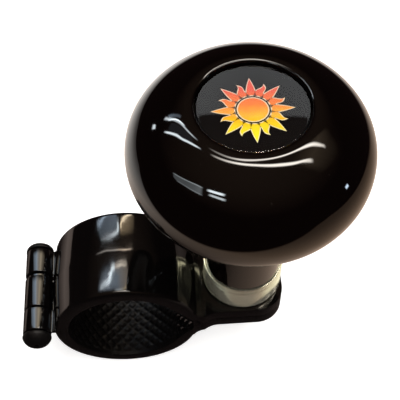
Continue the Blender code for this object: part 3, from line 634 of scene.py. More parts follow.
def emblem():
    """The printed disc, the clear dome on it and the sun between them."""
    disc_round = 0.00015
    disc = [(0.0, DISC_TOP, 0), (EMBLEM_RADIUS, DISC_TOP, disc_round),
            (EMBLEM_RADIUS, DISC_BOTTOM, disc_round), (0.0, DISC_BOTTOM, 0)]
    turned("emblem_print_disc", "emblem_disc", rounded(disc), 192, 40.0, PRINT, "knob")

    edge_height = 0.0005
    edge_round = 0.0004
    edge_foot = 0.0001
    edge_top = DOME_BOTTOM + edge_height
    shoulder = EMBLEM_RADIUS - edge_round
    steps = 40
    dome = []
    for i in range(steps + 1):
        radius = shoulder * i / steps
        dome.append((radius, edge_top + (DOME_TOP - edge_top) * (1 - (radius / EMBLEM_RADIUS) ** 2)))
    dome += bend(dome[-1], (EMBLEM_RADIUS, edge_top + edge_foot),
                 (EMBLEM_RADIUS, DOME_BOTTOM + edge_foot), 8)[1:]
    dome += [(0.0, DOME_BOTTOM)]
    turned("emblem_resin_dome", "emblem_dome", dome, 192, 50.0, RESIN, "knob")

    for name, grow, level, material in (("sun_edges", OUTLINE_WIDTH, 1, EDGE_INK),
                                        ("sun_print", 0.0, 2, SUN_INK)):
        outlines = [arc((0.0, 0.0), SUN_RADIUS + grow, 0, 356, 90)]
        for i in range(RAY_COUNT):
            tip, wave = (SHORT_RAY_TIP, WAVE) if i % 2 else (RAY_TIP, 0.0)
            outlines.append(ray_outline(math.tau * i / RAY_COUNT, tip, wave, grow))
        printed(name, outlines, DISC_TOP + level * INK_HEIGHT, material)


# Rim clamp

KNURL_PITCH = 0.0033
KNURL_HEIGHT = 0.00032
KNURL_MARGIN = 0.0012            # plain edge of the bore on each side
KNURL_FADE = 0.0005              # next to it, where the pads rise to their height
PAD_FLANK = 0.7                  # width of a pad's slope, as a share of half the pitch
BORE_EDGE_ROUND = 0.0004
RING_STEPS = 300
BORE_ROWS = 150


def eased(value, low, high):
    """0 below low, 1 above high and a smooth rise between."""
    t = min(1.0, max(0.0, (value - low) / (high - low)))
    return t * t * (3 - 2 * t)


def knurl(arc_length, y):
    """Height of the soft diamond pads inside the bore, at a place along and across it."""
    height = 1.0
    for hand in (-1, 1):
        place = (arc_length + hand * y) / KNURL_PITCH
        height *= eased(2 * abs(place - round(place)), 0.0, PAD_FLANK)
    return KNURL_HEIGHT * height * eased(RING_HALF_WIDTH - abs(y) - KNURL_MARGIN, 0.0, KNURL_FADE)


def bore_radius(angle):
    """The bore is round, but runs straight to its corner at the lugs."""
    if angle < NOTCH_ANGLE:
        return BORE_RADIUS / math.cos(NOTCH_ANGLE - angle)
    return BORE_RADIUS


CREASE_ROUND = 0.0006
FLANK_START = 0.4                # slope of the ring's flank at the crease, as a share of its mean


def flank_point(y):
    """The ring falls away from its crease in a slight curve."""
    share = y / (RING_HALF_WIDTH - RING_EDGE_ROUND)
    drop = RING_DRAFT * (FLANK_START * share + (1 - FLANK_START) * share * share)
    return (RING_CREST_RADIUS - drop, y)


def ring_half_mesh(name, side):
    """Half the clamp's ring, side +1 above the parting plane and -1 below it."""
    edge = RING_HALF_WIDTH - RING_EDGE_ROUND
    outside = arc((RING_RADIUS - RING_EDGE_ROUND, edge), RING_EDGE_ROUND, 90, 0, 9)
    outside += [flank_point(edge * (1 - i / 16)) for i in range(1, 16)
                if edge * (1 - i / 16) > CREASE_ROUND]
    shoulder = flank_point(CREASE_ROUND)
    crease = bend(shoulder, (RING_CREST_RADIUS, 0.0), (shoulder[0], -CREASE_ROUND), 7)
    outside += crease + [(radius, -y) for radius, y in reversed(outside)]

    plain = RING_HALF_WIDTH - BORE_EDGE_ROUND
    lead_in = [(BORE_EDGE_ROUND * (1 - math.sin(a)), plain + BORE_EDGE_ROUND * math.cos(a))
               for a in (1.2, 0.8, 0.4, 0.0)]
    inside = [(rise, -y) for rise, y in reversed(lead_in)]
    inside += [(0.0, plain * (2 * i / BORE_ROWS - 1)) for i in range(BORE_ROWS + 1)]
    inside += lead_in
    section = [(radius, y, False) for radius, y in outside] + [(rise, y, True) for rise, y in inside]

    verts = []
    for i in range(RING_STEPS + 1):
        share = i / RING_STEPS
        for radius, y, in_bore in section:
            mean = BORE_RADIUS if in_bore else radius
            start = math.asin(PARTING / mean)
            angle = start + (math.pi - 2 * start) * share
            if in_bore:
                radius = bore_radius(angle) + radius - knurl(angle * BORE_RADIUS, y)
            verts.append((radius * math.cos(angle), y, side * radius * math.sin(angle)))
    count = len(section)
    faces = []
    for i in range(RING_STEPS):
        for j in range(count):
            k = (j + 1) % count
            faces.append([i * count + j, i * count + k, (i + 1) * count + k, (i + 1) * count + j])
    faces.append(list(range(count)))
    faces.append([RING_STEPS * count + j for j in reversed(range(count))])
    return solid_mesh(name, verts, faces)


def lug_mesh(name, side, hole):
    """A lug with its fillet to the ring, cut to its shape in plan, notched and bored."""
    fillet_z = LUG_TOP + LUG_FILLET
    fillet_x = math.sqrt((RING_RADIUS + LUG_FILLET) ** 2 - fillet_z ** 2)
    ring_angle = math.degrees(math.atan2(fillet_z, fillet_x))
    profile = [(MID_WALL, PARTING), (LUG_END_X, PARTING), (LUG_END_X, LUG_TOP)]
    profile += arc((fillet_x, fillet_z), LUG_FILLET, 270, 180 + ring_angle, 24)
    profile += [(MID_WALL, fillet_z * RING_RADIUS / (RING_RADIUS + LUG_FILLET))]
    profile = [(x, side * z) for x, z in profile]
    wide = RING_HALF_WIDTH - LUG_INSET
    flare_start = RING_RADIUS + LUG_FILLET / 2
    flare_end = flare_start + LUG_FILLET
    corner = (LUG_END_X - LUG_CORNER, LUG_HALF_WIDTH - LUG_CORNER)
    half = [(MID_WALL - LUG_FILLET, wide)]
    half += bend((flare_start, wide), ((flare_start + flare_end) / 2, LUG_HALF_WIDTH),
                 (flare_end, LUG_HALF_WIDTH), 14)
    half += arc(corner, LUG_CORNER, 90, 0, 28)
    plan = half + [(x, -y) for x, y in reversed(half)]
    touch_x = BORE_RADIUS * math.cos(NOTCH_ANGLE)
    touch_z = BORE_RADIUS * math.sin(NOTCH_ANGLE)
    kite = [(0.0, 0.0), (touch_x, -touch_z), (NOTCH_TIP, 0.0), (touch_x, touch_z)]
    return worked(name, prism_mesh(name, profile, -RING_HALF_WIDTH, RING_HALF_WIDTH, "Y"), [
        ("keep", prism_mesh(name + "_plan", plan, -2 * fillet_z, 2 * fillet_z)),
        ("round", LUG_EDGE_ROUND),
        ("cut", prism_mesh(name + "_kite", kite, -2 * RING_HALF_WIDTH, 2 * RING_HALF_WIDTH, "Y")),
        ("cut", drill_mesh(name + "_hole", hole, KNOB_X)),
    ])


def knuckle_mesh(name, side, low, high):
    """A knuckle of the hinge, with the hollow web, lower than its barrel, that joins it to the ring."""
    web_foot = PARTING + GAP
    foot_angle = math.degrees(math.asin(web_foot / BARREL_RADIUS))
    web_angle = math.degrees(math.asin(WEB_HEIGHT / BARREL_RADIUS))
    barrel_side = HINGE_X + BARREL_RADIUS * math.cos(math.radians(web_angle))
    ring_side = -math.sqrt(RING_RADIUS ** 2 - WEB_HEIGHT ** 2)
    valley = ((barrel_side + ring_side) / 2, WEB_HEIGHT - WEB_HOLLOW)
    outline = [(-MID_WALL, WEB_HEIGHT)]
    outline += bend((ring_side, WEB_HEIGHT), valley, (barrel_side, WEB_HEIGHT), 12)
    outline += arc((HINGE_X, 0.0), BARREL_RADIUS, web_angle, 360 + foot_angle, 64)[1:]
    outline += [(-MID_WALL, web_foot)]
    outline = [(x, side * z) for x, z in outline]
    return worked(name, prism_mesh(name, outline, low, high, "Y"), [
        ("round", KNUCKLE_ROUND),
        ("cut", drill_mesh(name + "_bore", PIN_RADIUS + GAP, HINGE_X, "Y")),
    ])


def shoulder_meshes(low, high):
    """The step on the middle knuckle that fills the gap to the back one, and its web.

    Behind the web a tongue runs on along the back knuckle's barrel and closes the slit there.
    """
    edge = 0.0002
    over_barrel = BARREL_RADIUS + 0.0001
    section = [(SHOULDER_RADIUS, high, edge), (SHOULDER_RADIUS, low, 0),
               (PIN_RADIUS + GAP, low, 0), (PIN_RADIUS + GAP, high, 0)]
    step = lathe_mesh("shoulder", rounded(section, True), 96, closed=True, axis="Y")
    step.transform(Matrix.Translation((HINGE_X, 0.0, 0.0)))
    left = HINGE_X + (SHOULDER_RADIUS + PIN_RADIUS) / 2
    foot = -PARTING - GAP
    web = [(left, foot), (-MID_WALL, foot), (-MID_WALL, -WEB_HEIGHT), (left, -WEB_HEIGHT)]
    tongue = [(-MID_WALL, -WEB_HEIGHT), (-MID_WALL, foot)]
    tongue += arc((HINGE_X, 0.0), over_barrel, -6.5, -29, 6)
    return [step, prism_mesh("shoulder_web", web, low, high, "Y"),
            prism_mesh("shoulder_tongue", tongue, high - GAP, high + TONGUE_REACH, "Y")]


def clamp():
    """The two halves, each with its ring, its lug and its knuckles."""
    middle_low = MIDDLE_KNUCKLE_Y - MIDDLE_KNUCKLE_WIDTH / 2
    middle_high = MIDDLE_KNUCKLE_Y + MIDDLE_KNUCKLE_WIDTH / 2
    back = (middle_high + STEP_WIDTH, RING_HALF_WIDTH)
    front = (-RING_HALF_WIDTH, middle_low - GAP)
    for half, side, hole, spans, body in (
            ("upper", 1, SPIGOT_RADIUS + GAP, (back, front), "clamp"),
            ("lower", -1, BOLT_HOLE_RADIUS, ((middle_low, middle_high),), "jaw")):
        knuckles = [knuckle_mesh(f"{half}_knuckle_{i + 1}", side, *span)
                    for i, span in enumerate(spans)]
        if side < 0:
            knuckles += shoulder_meshes(middle_high - KNUCKLE_ROUND, back[0] - GAP)
        for name, meshes in (("casting_", [ring_half_mesh(half + "_ring", side)]),
                             ("lug_", [lug_mesh(half + "_lug", side, hole)]),
                             ("knuckles_", knuckles)):
            dress(joined(name + half, meshes), PAINT, body, "clamp_" + half)


def hinge():
    """The rivet with its dimpled head, and the cap at its back."""
    radius = PIN_HEAD_RADIUS
    seat = -(RING_HALF_WIDTH + GAP)
    rim = 0.0004
    dimple = 0.0009
    bottom = PIN_FRONT + dimple * 0.6
    outline = [(0.0, PIN_BACK), (PIN_RADIUS, PIN_BACK), (PIN_RADIUS, seat)]
    outline += bend((radius - rim, seat), (radius, seat), (radius, seat - rim), 5)
    outline += bend((radius, seat - 2 * rim), (radius * 0.78, PIN_FRONT), (dimple, PIN_FRONT), 20)
    outline += bend((dimple * 0.85, PIN_FRONT + dimple * 0.1), (dimple * 0.5, bottom), (0.0, bottom), 8)
    turned("rivet", "hinge_pin", outline, 72, 40.0, PAINT, "clamp", HINGE_X, axis="Y")

    seat = RING_HALF_WIDTH + GAP
    hole = PIN_RADIUS + GAP
    outline = bend((0.0, CAP_BACK), (radius, CAP_BACK), (radius, seat), 20)
    outline += [(hole, seat), (hole, PIN_BACK + GAP), (0.0, PIN_BACK + GAP)]
    turned("rivet_cap", "hinge_pin_cap", outline, 72, 40.0, PAINT, "clamp", HINGE_X, axis="Y")


# Spindle and bolt

THREAD_PITCH = 0.00125
THREAD_SLOPE = 2.4               # of the flanks, in depths per pitch
THREAD_ROOT = 0.15               # of the depth, cut off flat


def thread(depth, low, high):
    """A swell for a lathe that cuts or raises a thread between two heights."""
    def swell(radius, height, angle):
        if not low < height < high:
            return radius
        turn = (height / THREAD_PITCH - angle / math.tau) % 1.0
        flank = min(1.0, max(0.0, THREAD_SLOPE * abs(turn - 0.5) - THREAD_ROOT))
        fade = min(1.0, (height - low) / THREAD_PITCH, (high - height) / THREAD_PITCH)
        return radius + depth * flank * fade
    return swell


def rows(radius, start, end, spacing):
    """Points down a straight side, close enough together to carry a thread."""
    count = max(2, round(abs(end - start) / spacing))
    return [(radius, start + (end - start) * i / count) for i in range(count + 1)]


def spindle():
    """The turned spindle: journal, shaft, the collar that shows, and the tapped spigot."""
    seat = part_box("bearing_inner_race")[0].z - GAP
    lip_bottom = COLLAR_TOP - COLLAR_LIP
    groove = 0.00035
    edge = 0.0003
    thread_depth = 0.00055
    corners = [(0.0, SPINDLE_TOP, 0), (JOURNAL_RADIUS, SPINDLE_TOP, edge), (JOURNAL_RADIUS, seat, 0),
               (SHAFT_RADIUS, seat, edge), (SHAFT_RADIUS, COLLAR_TOP, 0),
               (COLLAR_RADIUS, COLLAR_TOP, 0.0010), (COLLAR_RADIUS, lip_bottom, 0.0002),
               (COLLAR_RADIUS - groove, lip_bottom - groove * 0.7, 0.0001),
               (COLLAR_RADIUS, lip_bottom - groove * 1.8, 0.0002),
               (COLLAR_RADIUS, COLLAR_BOTTOM, 0.0011), (SPIGOT_RADIUS, COLLAR_BOTTOM, 0),
               (SPIGOT_RADIUS, SPINDLE_BOTTOM, edge), (TAPPED_RADIUS, SPINDLE_BOTTOM, 0)]
    outline = rounded(corners)
    outline += rows(TAPPED_RADIUS, SPINDLE_BOTTOM + 0.0001, TAPPED_DEPTH, THREAD_PITCH / 8)
    outline += [(0.0, TAPPED_DEPTH + TAPPED_RADIUS / 2)]
    tapped = thread(thread_depth, SPINDLE_BOTTOM, TAPPED_DEPTH)

    def swell(radius, height, angle):
        return tapped(radius, height, angle) if abs(radius - TAPPED_RADIUS) < 1e-6 else radius

    turned("turned_spindle", "spindle", outline, 144, 28.0, ZINC, "clamp", swell=swell)


def bolt():
    """The hex bolt with its thread, chamfered head and two washers."""
    flats = 0.0130
    head_height = 0.0053
    face_radius = flats / 2 * 0.97
    root = 0.0032
    crest = 0.00395
    shank_round = 0.0008
    corner = flats / math.sqrt(3)
    head_top = BOLT_HEAD_BOTTOM + head_height
    # The head is kept inside a cone that starts at the round face and is far wider at its top
    cone_rise = 0.0009 + corner * 0.58
    cone_top = head_top + 0.001
    crown = [(0.0, cone_top), (2 * corner, cone_top), (2 * corner, BOLT_HEAD_BOTTOM + cone_rise),
             (face_radius, BOLT_HEAD_BOTTOM), (0.0, BOLT_HEAD_BOTTOM)]
    hexagon = prism_mesh("bolt_head", arc((0.0, 0.0), corner, 0, 300, 6), BOLT_HEAD_BOTTOM, head_top)
    head = worked("bolt_head", hexagon, [("keep", lathe_mesh("bolt_crown", crown, 96))])
    shank_low = head_top - GAP
    shank_high = BOLT_TIP - shank_round / 2
    shank = [(0.0, BOLT_TIP), (root - shank_round, BOLT_TIP), (root, shank_high)]
    shank += rows(root, BOLT_TIP - shank_round, shank_low, THREAD_PITCH / 10)
    shank += [(0.0, shank_low)]
    threaded = lathe_mesh("bolt_shank", shank, 96, swell=thread(crest - root, shank_low, shank_high))
    dress(joined("hex_bolt", [head, threaded], KNOB_X), ZINC, "bolt", "clamp_bolt")

    hole = 0.0043
    split_half = 0.0005
    for name, node, edge in (("flat_washer", "bolt_washer", 0.00025),
                             ("split_washer", "bolt_spring_washer", 0.0002)):
        low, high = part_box(node)
        outer = (high.y - low.y) / 2
        section = [(outer, high.z, edge), (outer, low.z, edge),
                   (hole, low.z, edge), (hole, high.z, edge)]
        mesh = lathe_mesh(name, rounded(section, True, 4), 120, closed=True)
        if name == "split_washer":
            lean = (high.z - low.z) / 2
            slot = [(-split_half - lean, low.z - lean), (split_half - lean, low.z - lean),
                    (split_half + lean, high.z + lean), (-split_half + lean, high.z + lean)]
            mesh = worked(name, mesh, [("cut", prism_mesh("split", slot, 0.0, 2 * outer, "Y"))])
        dress(finished(name, mesh, 35.0, KNOB_X), ZINC, "bolt", node)


def inner_pieces():
    """The pieces inside stay as the CAD solids, with their own finishes."""
    finishes = {mat.name: mat for mat in (STEEL, SPRING, NYLON, BRONZE, ZINC)}
    for name, node in NODES.items():
        if not node.hide_render and SLOTS[name] in finishes:
            node.data.materials.clear()
            node.data.materials.append(finishes[SLOTS[name]])


# Stage, lights and camera

FLOOR_Z = -RING_CREST_RADIUS - 0.0001
SHEET_STEP = 0.00003             # from the floor up to each sheet on it


def staged(name, mesh, material):
    """A new object in the scene for a piece of the stage, with its material."""
    mesh.materials.append(material)
    obj = placed(name, mesh)
    return obj


def level_sheet(name, low, high, level, material):
    """A level rectangle of the stage between two corners (x, y)."""
    mesh = bpy.data.meshes.new(name)
    mesh.from_pydata([(low[0], low[1], level), (high[0], low[1], level),
                      (high[0], high[1], level), (low[0], high[1], level)], [], [(0, 1, 2, 3)])
    return staged(name, mesh, material)


def emitting(name):
    """A clear material that only adds light to what is behind it, and its emission to drive."""
    mat = bpy.data.materials.new(name)
    tree = emptied_tree(mat)
    emission = add_node(tree, "Emission")
    clear = add_node(tree, "BsdfTransparent").outputs["BSDF"]
    both = add_node(tree, "AddShader", {0: emission.outputs["Emission"], 1: clear}).outputs["Shader"]
    add_node(tree, "OutputMaterial", {"Surface": both})
    return mat, tree, emission


def reflections_only(obj, only):
    """Hide an emitting piece from all but the mirror-like rays, and limit what it lights."""
    for kind in ("camera", "diffuse", "transmission", "volume_scatter", "shadow"):
        setattr(obj, "visible_" + kind, False)
    if only is not None:
        obj.light_linking.receiver_collection = only


def pale_floor():
    """The floor that the camera sees, pale and almost shadowless."""
    mat, _, shader = blank_material("pale_floor", (0.80, 0.80, 0.80), 0.9)
    set_inputs(shader, {"Emission Color": (1.0, 1.0, 1.0), "Emission Strength": 0.72})
    floor = level_sheet("floor", (-3.0, -3.0), (3.0, 3.0), FLOOR_Z, mat)
    floor.visible_glossy = False


def distance_to(tree, place):
    return vector_math(tree, "DISTANCE", object_place(tree), place)


def along(tree, x_share, y_share):
    """How far a place on the sheet lies along a level direction."""
    return vector_math(tree, "DOT_PRODUCT", object_place(tree), (x_share, y_share, 0.0))


def sheet_under_knob(only):
    """The lit paper that the knob reflects: askew, brightest behind on the left, dark by the clamp."""
    level = FLOOR_Z + SHEET_STEP
    mat, tree, emission = emitting("paper_glow")
    spread = 0.15
    off_centre = math_node(tree, "DIVIDE", distance_to(tree, (-0.025, 0.15, level)), spread)
    glow = math_node(tree, "EXPONENT", times(tree, off_centre, off_centre, -0.5))
    lit = math_node(tree, "ADD", times(tree, glow, 1.2), 0.3)
    front_edge = mapped(tree, along(tree, 0.482, 0.876), -0.100, -0.084)
    back_edge = mapped(tree, along(tree, 0.539, 0.842), 0.33, 0.24)
    shade = mapped(tree, distance_to(tree, (-0.005, -0.005, level)), 0.02, 0.085, 0.08, 1.0)
    warm = mapped(tree, along(tree, 0.6, -0.8), -0.15, 0.10)
    set_inputs(emission, {"Strength": times(tree, lit, front_edge, back_edge, shade),
                          "Color": mixed_colour(tree, warm, (1.0, 0.95, 0.90), (1.0, 0.68, 0.46))})
    reflections_only(level_sheet("sheet_under_knob", (-0.45, -0.27), (0.43, 0.43), level, mat), only)


def sheet_under_clamp(only):
    """What the metal reflects of the paper, which the part shades except far out to each side."""
    mat, tree, emission = emitting("shaded_paper")
    left = mapped(tree, coordinate(tree, "X"), -0.05, -0.12, 0.0, 0.75)
    back = mapped(tree, coordinate(tree, "Y"), -0.04, 0.01)
    right = mapped(tree, coordinate(tree, "X"), 0.04, 0.12, 0.0, 0.2)
    share = math_node(tree, "ADD", times(tree, left, back), right)
    set_inputs(emission, {"Strength": math_node(tree, "ADD", share, 0.02), "Color": (1.0, 0.80, 0.70)})
    level = FLOOR_Z + 2 * SHEET_STEP
    reflections_only(level_sheet("sheet_under_clamp", (-0.35, -0.2), (0.35, 0.4), level, mat), only)


def toward(azimuth, elevation):
    """The unit vector of a direction."""
    a, e = math.radians(azimuth), math.radians(elevation)
    return Vector((math.sin(a) * math.cos(e), math.cos(a) * math.cos(e), math.sin(e)))


LAMP_DISTANCE = 0.8
KNOB_TOP = Vector((KNOB_X, 0.0, LIP_TOP))
RING_TOP = Vector((0.0, 0.0, RING_CREST_RADIUS))
BAND_STEPS = 6                   # pieces of a card's band between two of its points


def smooth_row(points):
    """A smooth curve through the points."""
    row = []
    last = len(points) - 1
    for i in range(last):
        start, end = points[i], points[i + 1]
        way_in = (end - points[max(0, i - 1)]) / 2
        way_out = (points[min(last, i + 2)] - start) / 2
        for step in range(BAND_STEPS):
            t = step / BAND_STEPS
            row.append(start * (2 * t ** 3 - 3 * t ** 2 + 1) + end * (3 * t ** 2 - 2 * t ** 3)
                       + way_in * (t ** 3 - 2 * t ** 2 + t) + way_out * (t ** 3 - t ** 2))
    return row + [points[last]]


def card(name, near, far, radiance, colour, soft, only):
    """An emitting band between two rows of points, fading over its edges.

    The radiance is what a perfect mirror would show. It and the colour are one value for the whole
    band, or a list with one for each point along it. soft is the share of the width that fades.
    """
    given = len(near)
    levels = radiance if isinstance(radiance, list) else [radiance] * given
    colours = colour if isinstance(colour, list) else [colour] * given
    lights = [Vector(tint) * level for tint, level in zip(colours, levels)]
    near, far = smooth_row(near), smooth_row(far)
    count = len(near)
    mesh = bpy.data.meshes.new(name)
    mesh.from_pydata(near + far, [], [(i, i + 1, count + i + 1, count + i) for i in range(count - 1)])
    layer = mesh.uv_layers.new(name="across")
    for loop in mesh.loops:
        index = loop.vertex_index
        layer.data[loop.index].uv = ((index % count) / (count - 1), index // count)
    shades = mesh.attributes.new("light", "FLOAT_COLOR", "POINT")
    for i in range(2 * count):
        place, step = divmod(i % count, BAND_STEPS)
        light = lights[place].lerp(lights[min(place + 1, given - 1)], step / BAND_STEPS)
        shades.data[i].color = (*light, 1.0)
    mat, tree, emission = emitting(name)
    fades = []
    for axis, share in (("X", min(soft, 0.5 / given)), ("Y", soft)):
        value = coordinate(tree, axis, "UV")
        fades += [mapped(tree, value, 0.0, share), mapped(tree, value, 1.0, 1.0 - share)]
    light = add_node(tree, "Attribute", attribute_name="light").outputs["Color"]
    set_inputs(emission, {"Color": light, "Strength": times(tree, *fades)})
    reflections_only(staged(name, mesh, mat), only)


def panel(name, near, far, radiance, colour, soft, only, target=KNOB_TOP):
    """A card between two rows of (azimuth, elevation) as seen from its target."""
    near, far = ([target + toward(*way) * LAMP_DISTANCE for way in row] for row in (near, far))
    card(name, near, far, radiance, colour, soft, only)


def stripe(name, path, half, radiance, colour, only, target=RING_TOP, soft=0.4):
    """A narrow panel along a path of (azimuth, elevation), of half the given height on each side."""
    panel(name, [(az, el - half) for az, el in path], [(az, el + half) for az, el in path],
          radiance, colour, soft, only, target)


CEILING = 0.6                    # height of the tube lamps over the knob


def tube(name, path, radiance, colour, soft, only=None):
    """A lamp across the ceiling, along points (x, y, width) from over the knob, in ceiling heights."""
    near, far = [], []
    for i, (x, y, width) in enumerate(path):
        before = path[max(0, i - 1)]
        after = path[min(len(path) - 1, i + 1)]
        way = Vector((after[0] - before[0], after[1] - before[1])).normalized()
        for row, side in ((near, -1), (far, 1)):
            place = Vector((x - side * way.y * width / 2, y + side * way.x * width / 2, 1.0))
            row.append(KNOB_TOP + place * CEILING)
    card(name, near, far, radiance, colour, soft, only)


def soft_key():
    """The soft light of the studio, which reflections don't show."""
    light = bpy.data.lights.new("soft_key", "AREA")
    light.shape = "SQUARE"
    light.size = 1.2
    light.energy = 14.0
    light.color = (1.0, 0.99, 0.97)
    lamp = placed("soft_key", light, (0.1, -0.1, 0.9))
    lamp.visible_camera = False
    lamp.visible_glossy = False


def receivers(name, *names):
    """A collection of the pieces that a card lights."""
    group = bpy.data.collections.new(name)
    for obj in bpy.context.scene.objects:
        if obj.name in names:
            group.objects.link(obj)
    return group


WARM_WHITE = (1.0, 0.93, 0.84)
COLD_WHITE = (0.86, 0.95, 1.0)
COLD_BLUE = (0.66, 0.82, 1.0)
AMBER = (1.0, 0.76, 0.46)
LAMP_WARM = (1.0, 0.80, 0.50)


def knob_reflections():
    """The lamps and windows that the knob and the emblem's dome show, placed by where they show."""
    knob_only = receivers("knob_pieces", "knob_body")
    dome_only = receivers("dome_pieces", "emblem_resin_dome")
    sheet_under_knob(receivers("over_paper", "knob_body", "emblem_resin_dome"))

    far_tube = [(-0.28, 0.33, 0.10), (-0.15, 0.20, 0.14), (-0.03, 0.17, 0.16), (0.10, 0.22, 0.18),
                (0.25, 0.26, 0.18), (0.43, 0.29, 0.16), (0.63, 0.26, 0.14), (0.80, 0.22, 0.12),
                (1.0, 0.19, 0.10), (1.2, 0.18, 0.08)]
    near_tube = [(-0.40, 0.11, 0.10), (-0.25, 0.01, 0.12), (-0.10, -0.04, 0.13), (0.05, -0.07, 0.14),
                 (0.25, -0.13, 0.13), (0.50, -0.16, 0.11), (0.70, -0.14, 0.09), (0.90, -0.12, 0.08)]
    left_near = [(-1.5, 0.95, 0.05), (-1.12, 0.61, 0.06), (-0.93, 0.43, 0.08), (-0.75, 0.33, 0.08),
                 (-0.5, 0.19, 0.07)]
    left_far = [(-1.6, 1.45, 0.10), (-1.31, 1.15, 0.10), (-0.85, 0.80, 0.10), (-0.65, 0.64, 0.10),
                (-0.38, 0.41, 0.09)]
    tube("far_tube", far_tube, [1, 8, 20, 22, 24, 24, 26, 22, 18, 10], WARM_WHITE, 0.4)
    tube("near_tube", near_tube, [3, 14, 26, 26, 26, 26, 24, 10], WARM_WHITE, 0.35)
    tube("left_near_line", left_near, 20.0, COLD_WHITE, 0.35, knob_only)
    tube("left_far_line", left_far, 12.0, COLD_WHITE, 0.4, knob_only)
    panel("arch_top", [(-49.4, 27.6), (-48.8, 30.1), (-46.5, 35.5), (-43.3, 43), (-39.4, 50.1)],
          [(-50.6, 28.5), (-50, 31), (-48.1, 35.7), (-46.2, 41.9), (-44.2, 48.6)],
          [9, 14, 20, 20, 10], COLD_WHITE, 0.3, knob_only)
    panel("arch_cap", [(-46.2, 25.5), (-44.9, 27.9), (-41.4, 35.3), (-34.2, 44)],
          [(-49.1, 28.5), (-48, 30.6), (-45.3, 36.2), (-41.6, 42.8)],
          [3, 2.4, 1.8, 1.4], COLD_BLUE, 0.3, knob_only)
    panel("arch_pane", [(-57, 31), (-62, 40), (-68, 56)], [(-52, 31), (-50, 41), (-50, 57)],
          0.22, COLD_BLUE, 0.1, knob_only)
    window_top = [(-94.5, 31.2), (-101.5, 35.5), (-108.8, 39.6), (-116.3, 43), (-123.8, 44.9)]
    window_foot = [(-102, 29.6), (-110, 33), (-118, 35.2), (-129, 37.4)]
    panel("front_window", [(-97, 29.5)] + window_foot, window_top, [1.2, 1.4, 1.4, 1.8, 3],
          COLD_WHITE, 0.1, knob_only)
    stripe("window_top", window_top, 0.9, [3.5, 5, 6, 7, 6], COLD_WHITE, knob_only, KNOB_TOP)
    stripe("window_foot", window_foot, 0.9, [2, 3, 4, 5], COLD_WHITE, knob_only, KNOB_TOP)
    for name, near, far, radiance, colour, soft in (
            ("front_line_far", [(-148, 47.5), (-128, 44)], [(-148, 51), (-127, 47)],
             24, COLD_WHITE, 0.25),
            ("front_line_near", [(-151, 42), (-132, 40.5)], [(-151, 45.5), (-132, 43.5)],
             14, COLD_WHITE, 0.25),
            ("left_spot", [(-56, 15), (-52, 15)], [(-56, 21), (-52, 21)], 14, COLD_WHITE, 0.4),
            ("right_spot", [(101, 1), (104.5, 1)], [(101, 7), (104.5, 7)], 20, COLD_BLUE, 0.4)):
        panel(name, near, far, radiance, colour, soft, knob_only)
    panel("tube_end_glow", [(60, 38), (80, 30), (105, 40)], [(50, 62), (75, 66), (115, 62)],
          0.5, (1.0, 0.75, 0.5), 0.5, knob_only)
    panel("far_wall", [(-45, 20), (-16, 20), (8, 20), (33, 20), (50, 20)],
          [(-45, 42), (-16, 51), (8, 57), (33, 49), (50, 40)], [1.8, 1.5, 1.1, 1.4, 1.8],
          (0.95, 0.98, 1.0), 0.06, dome_only)


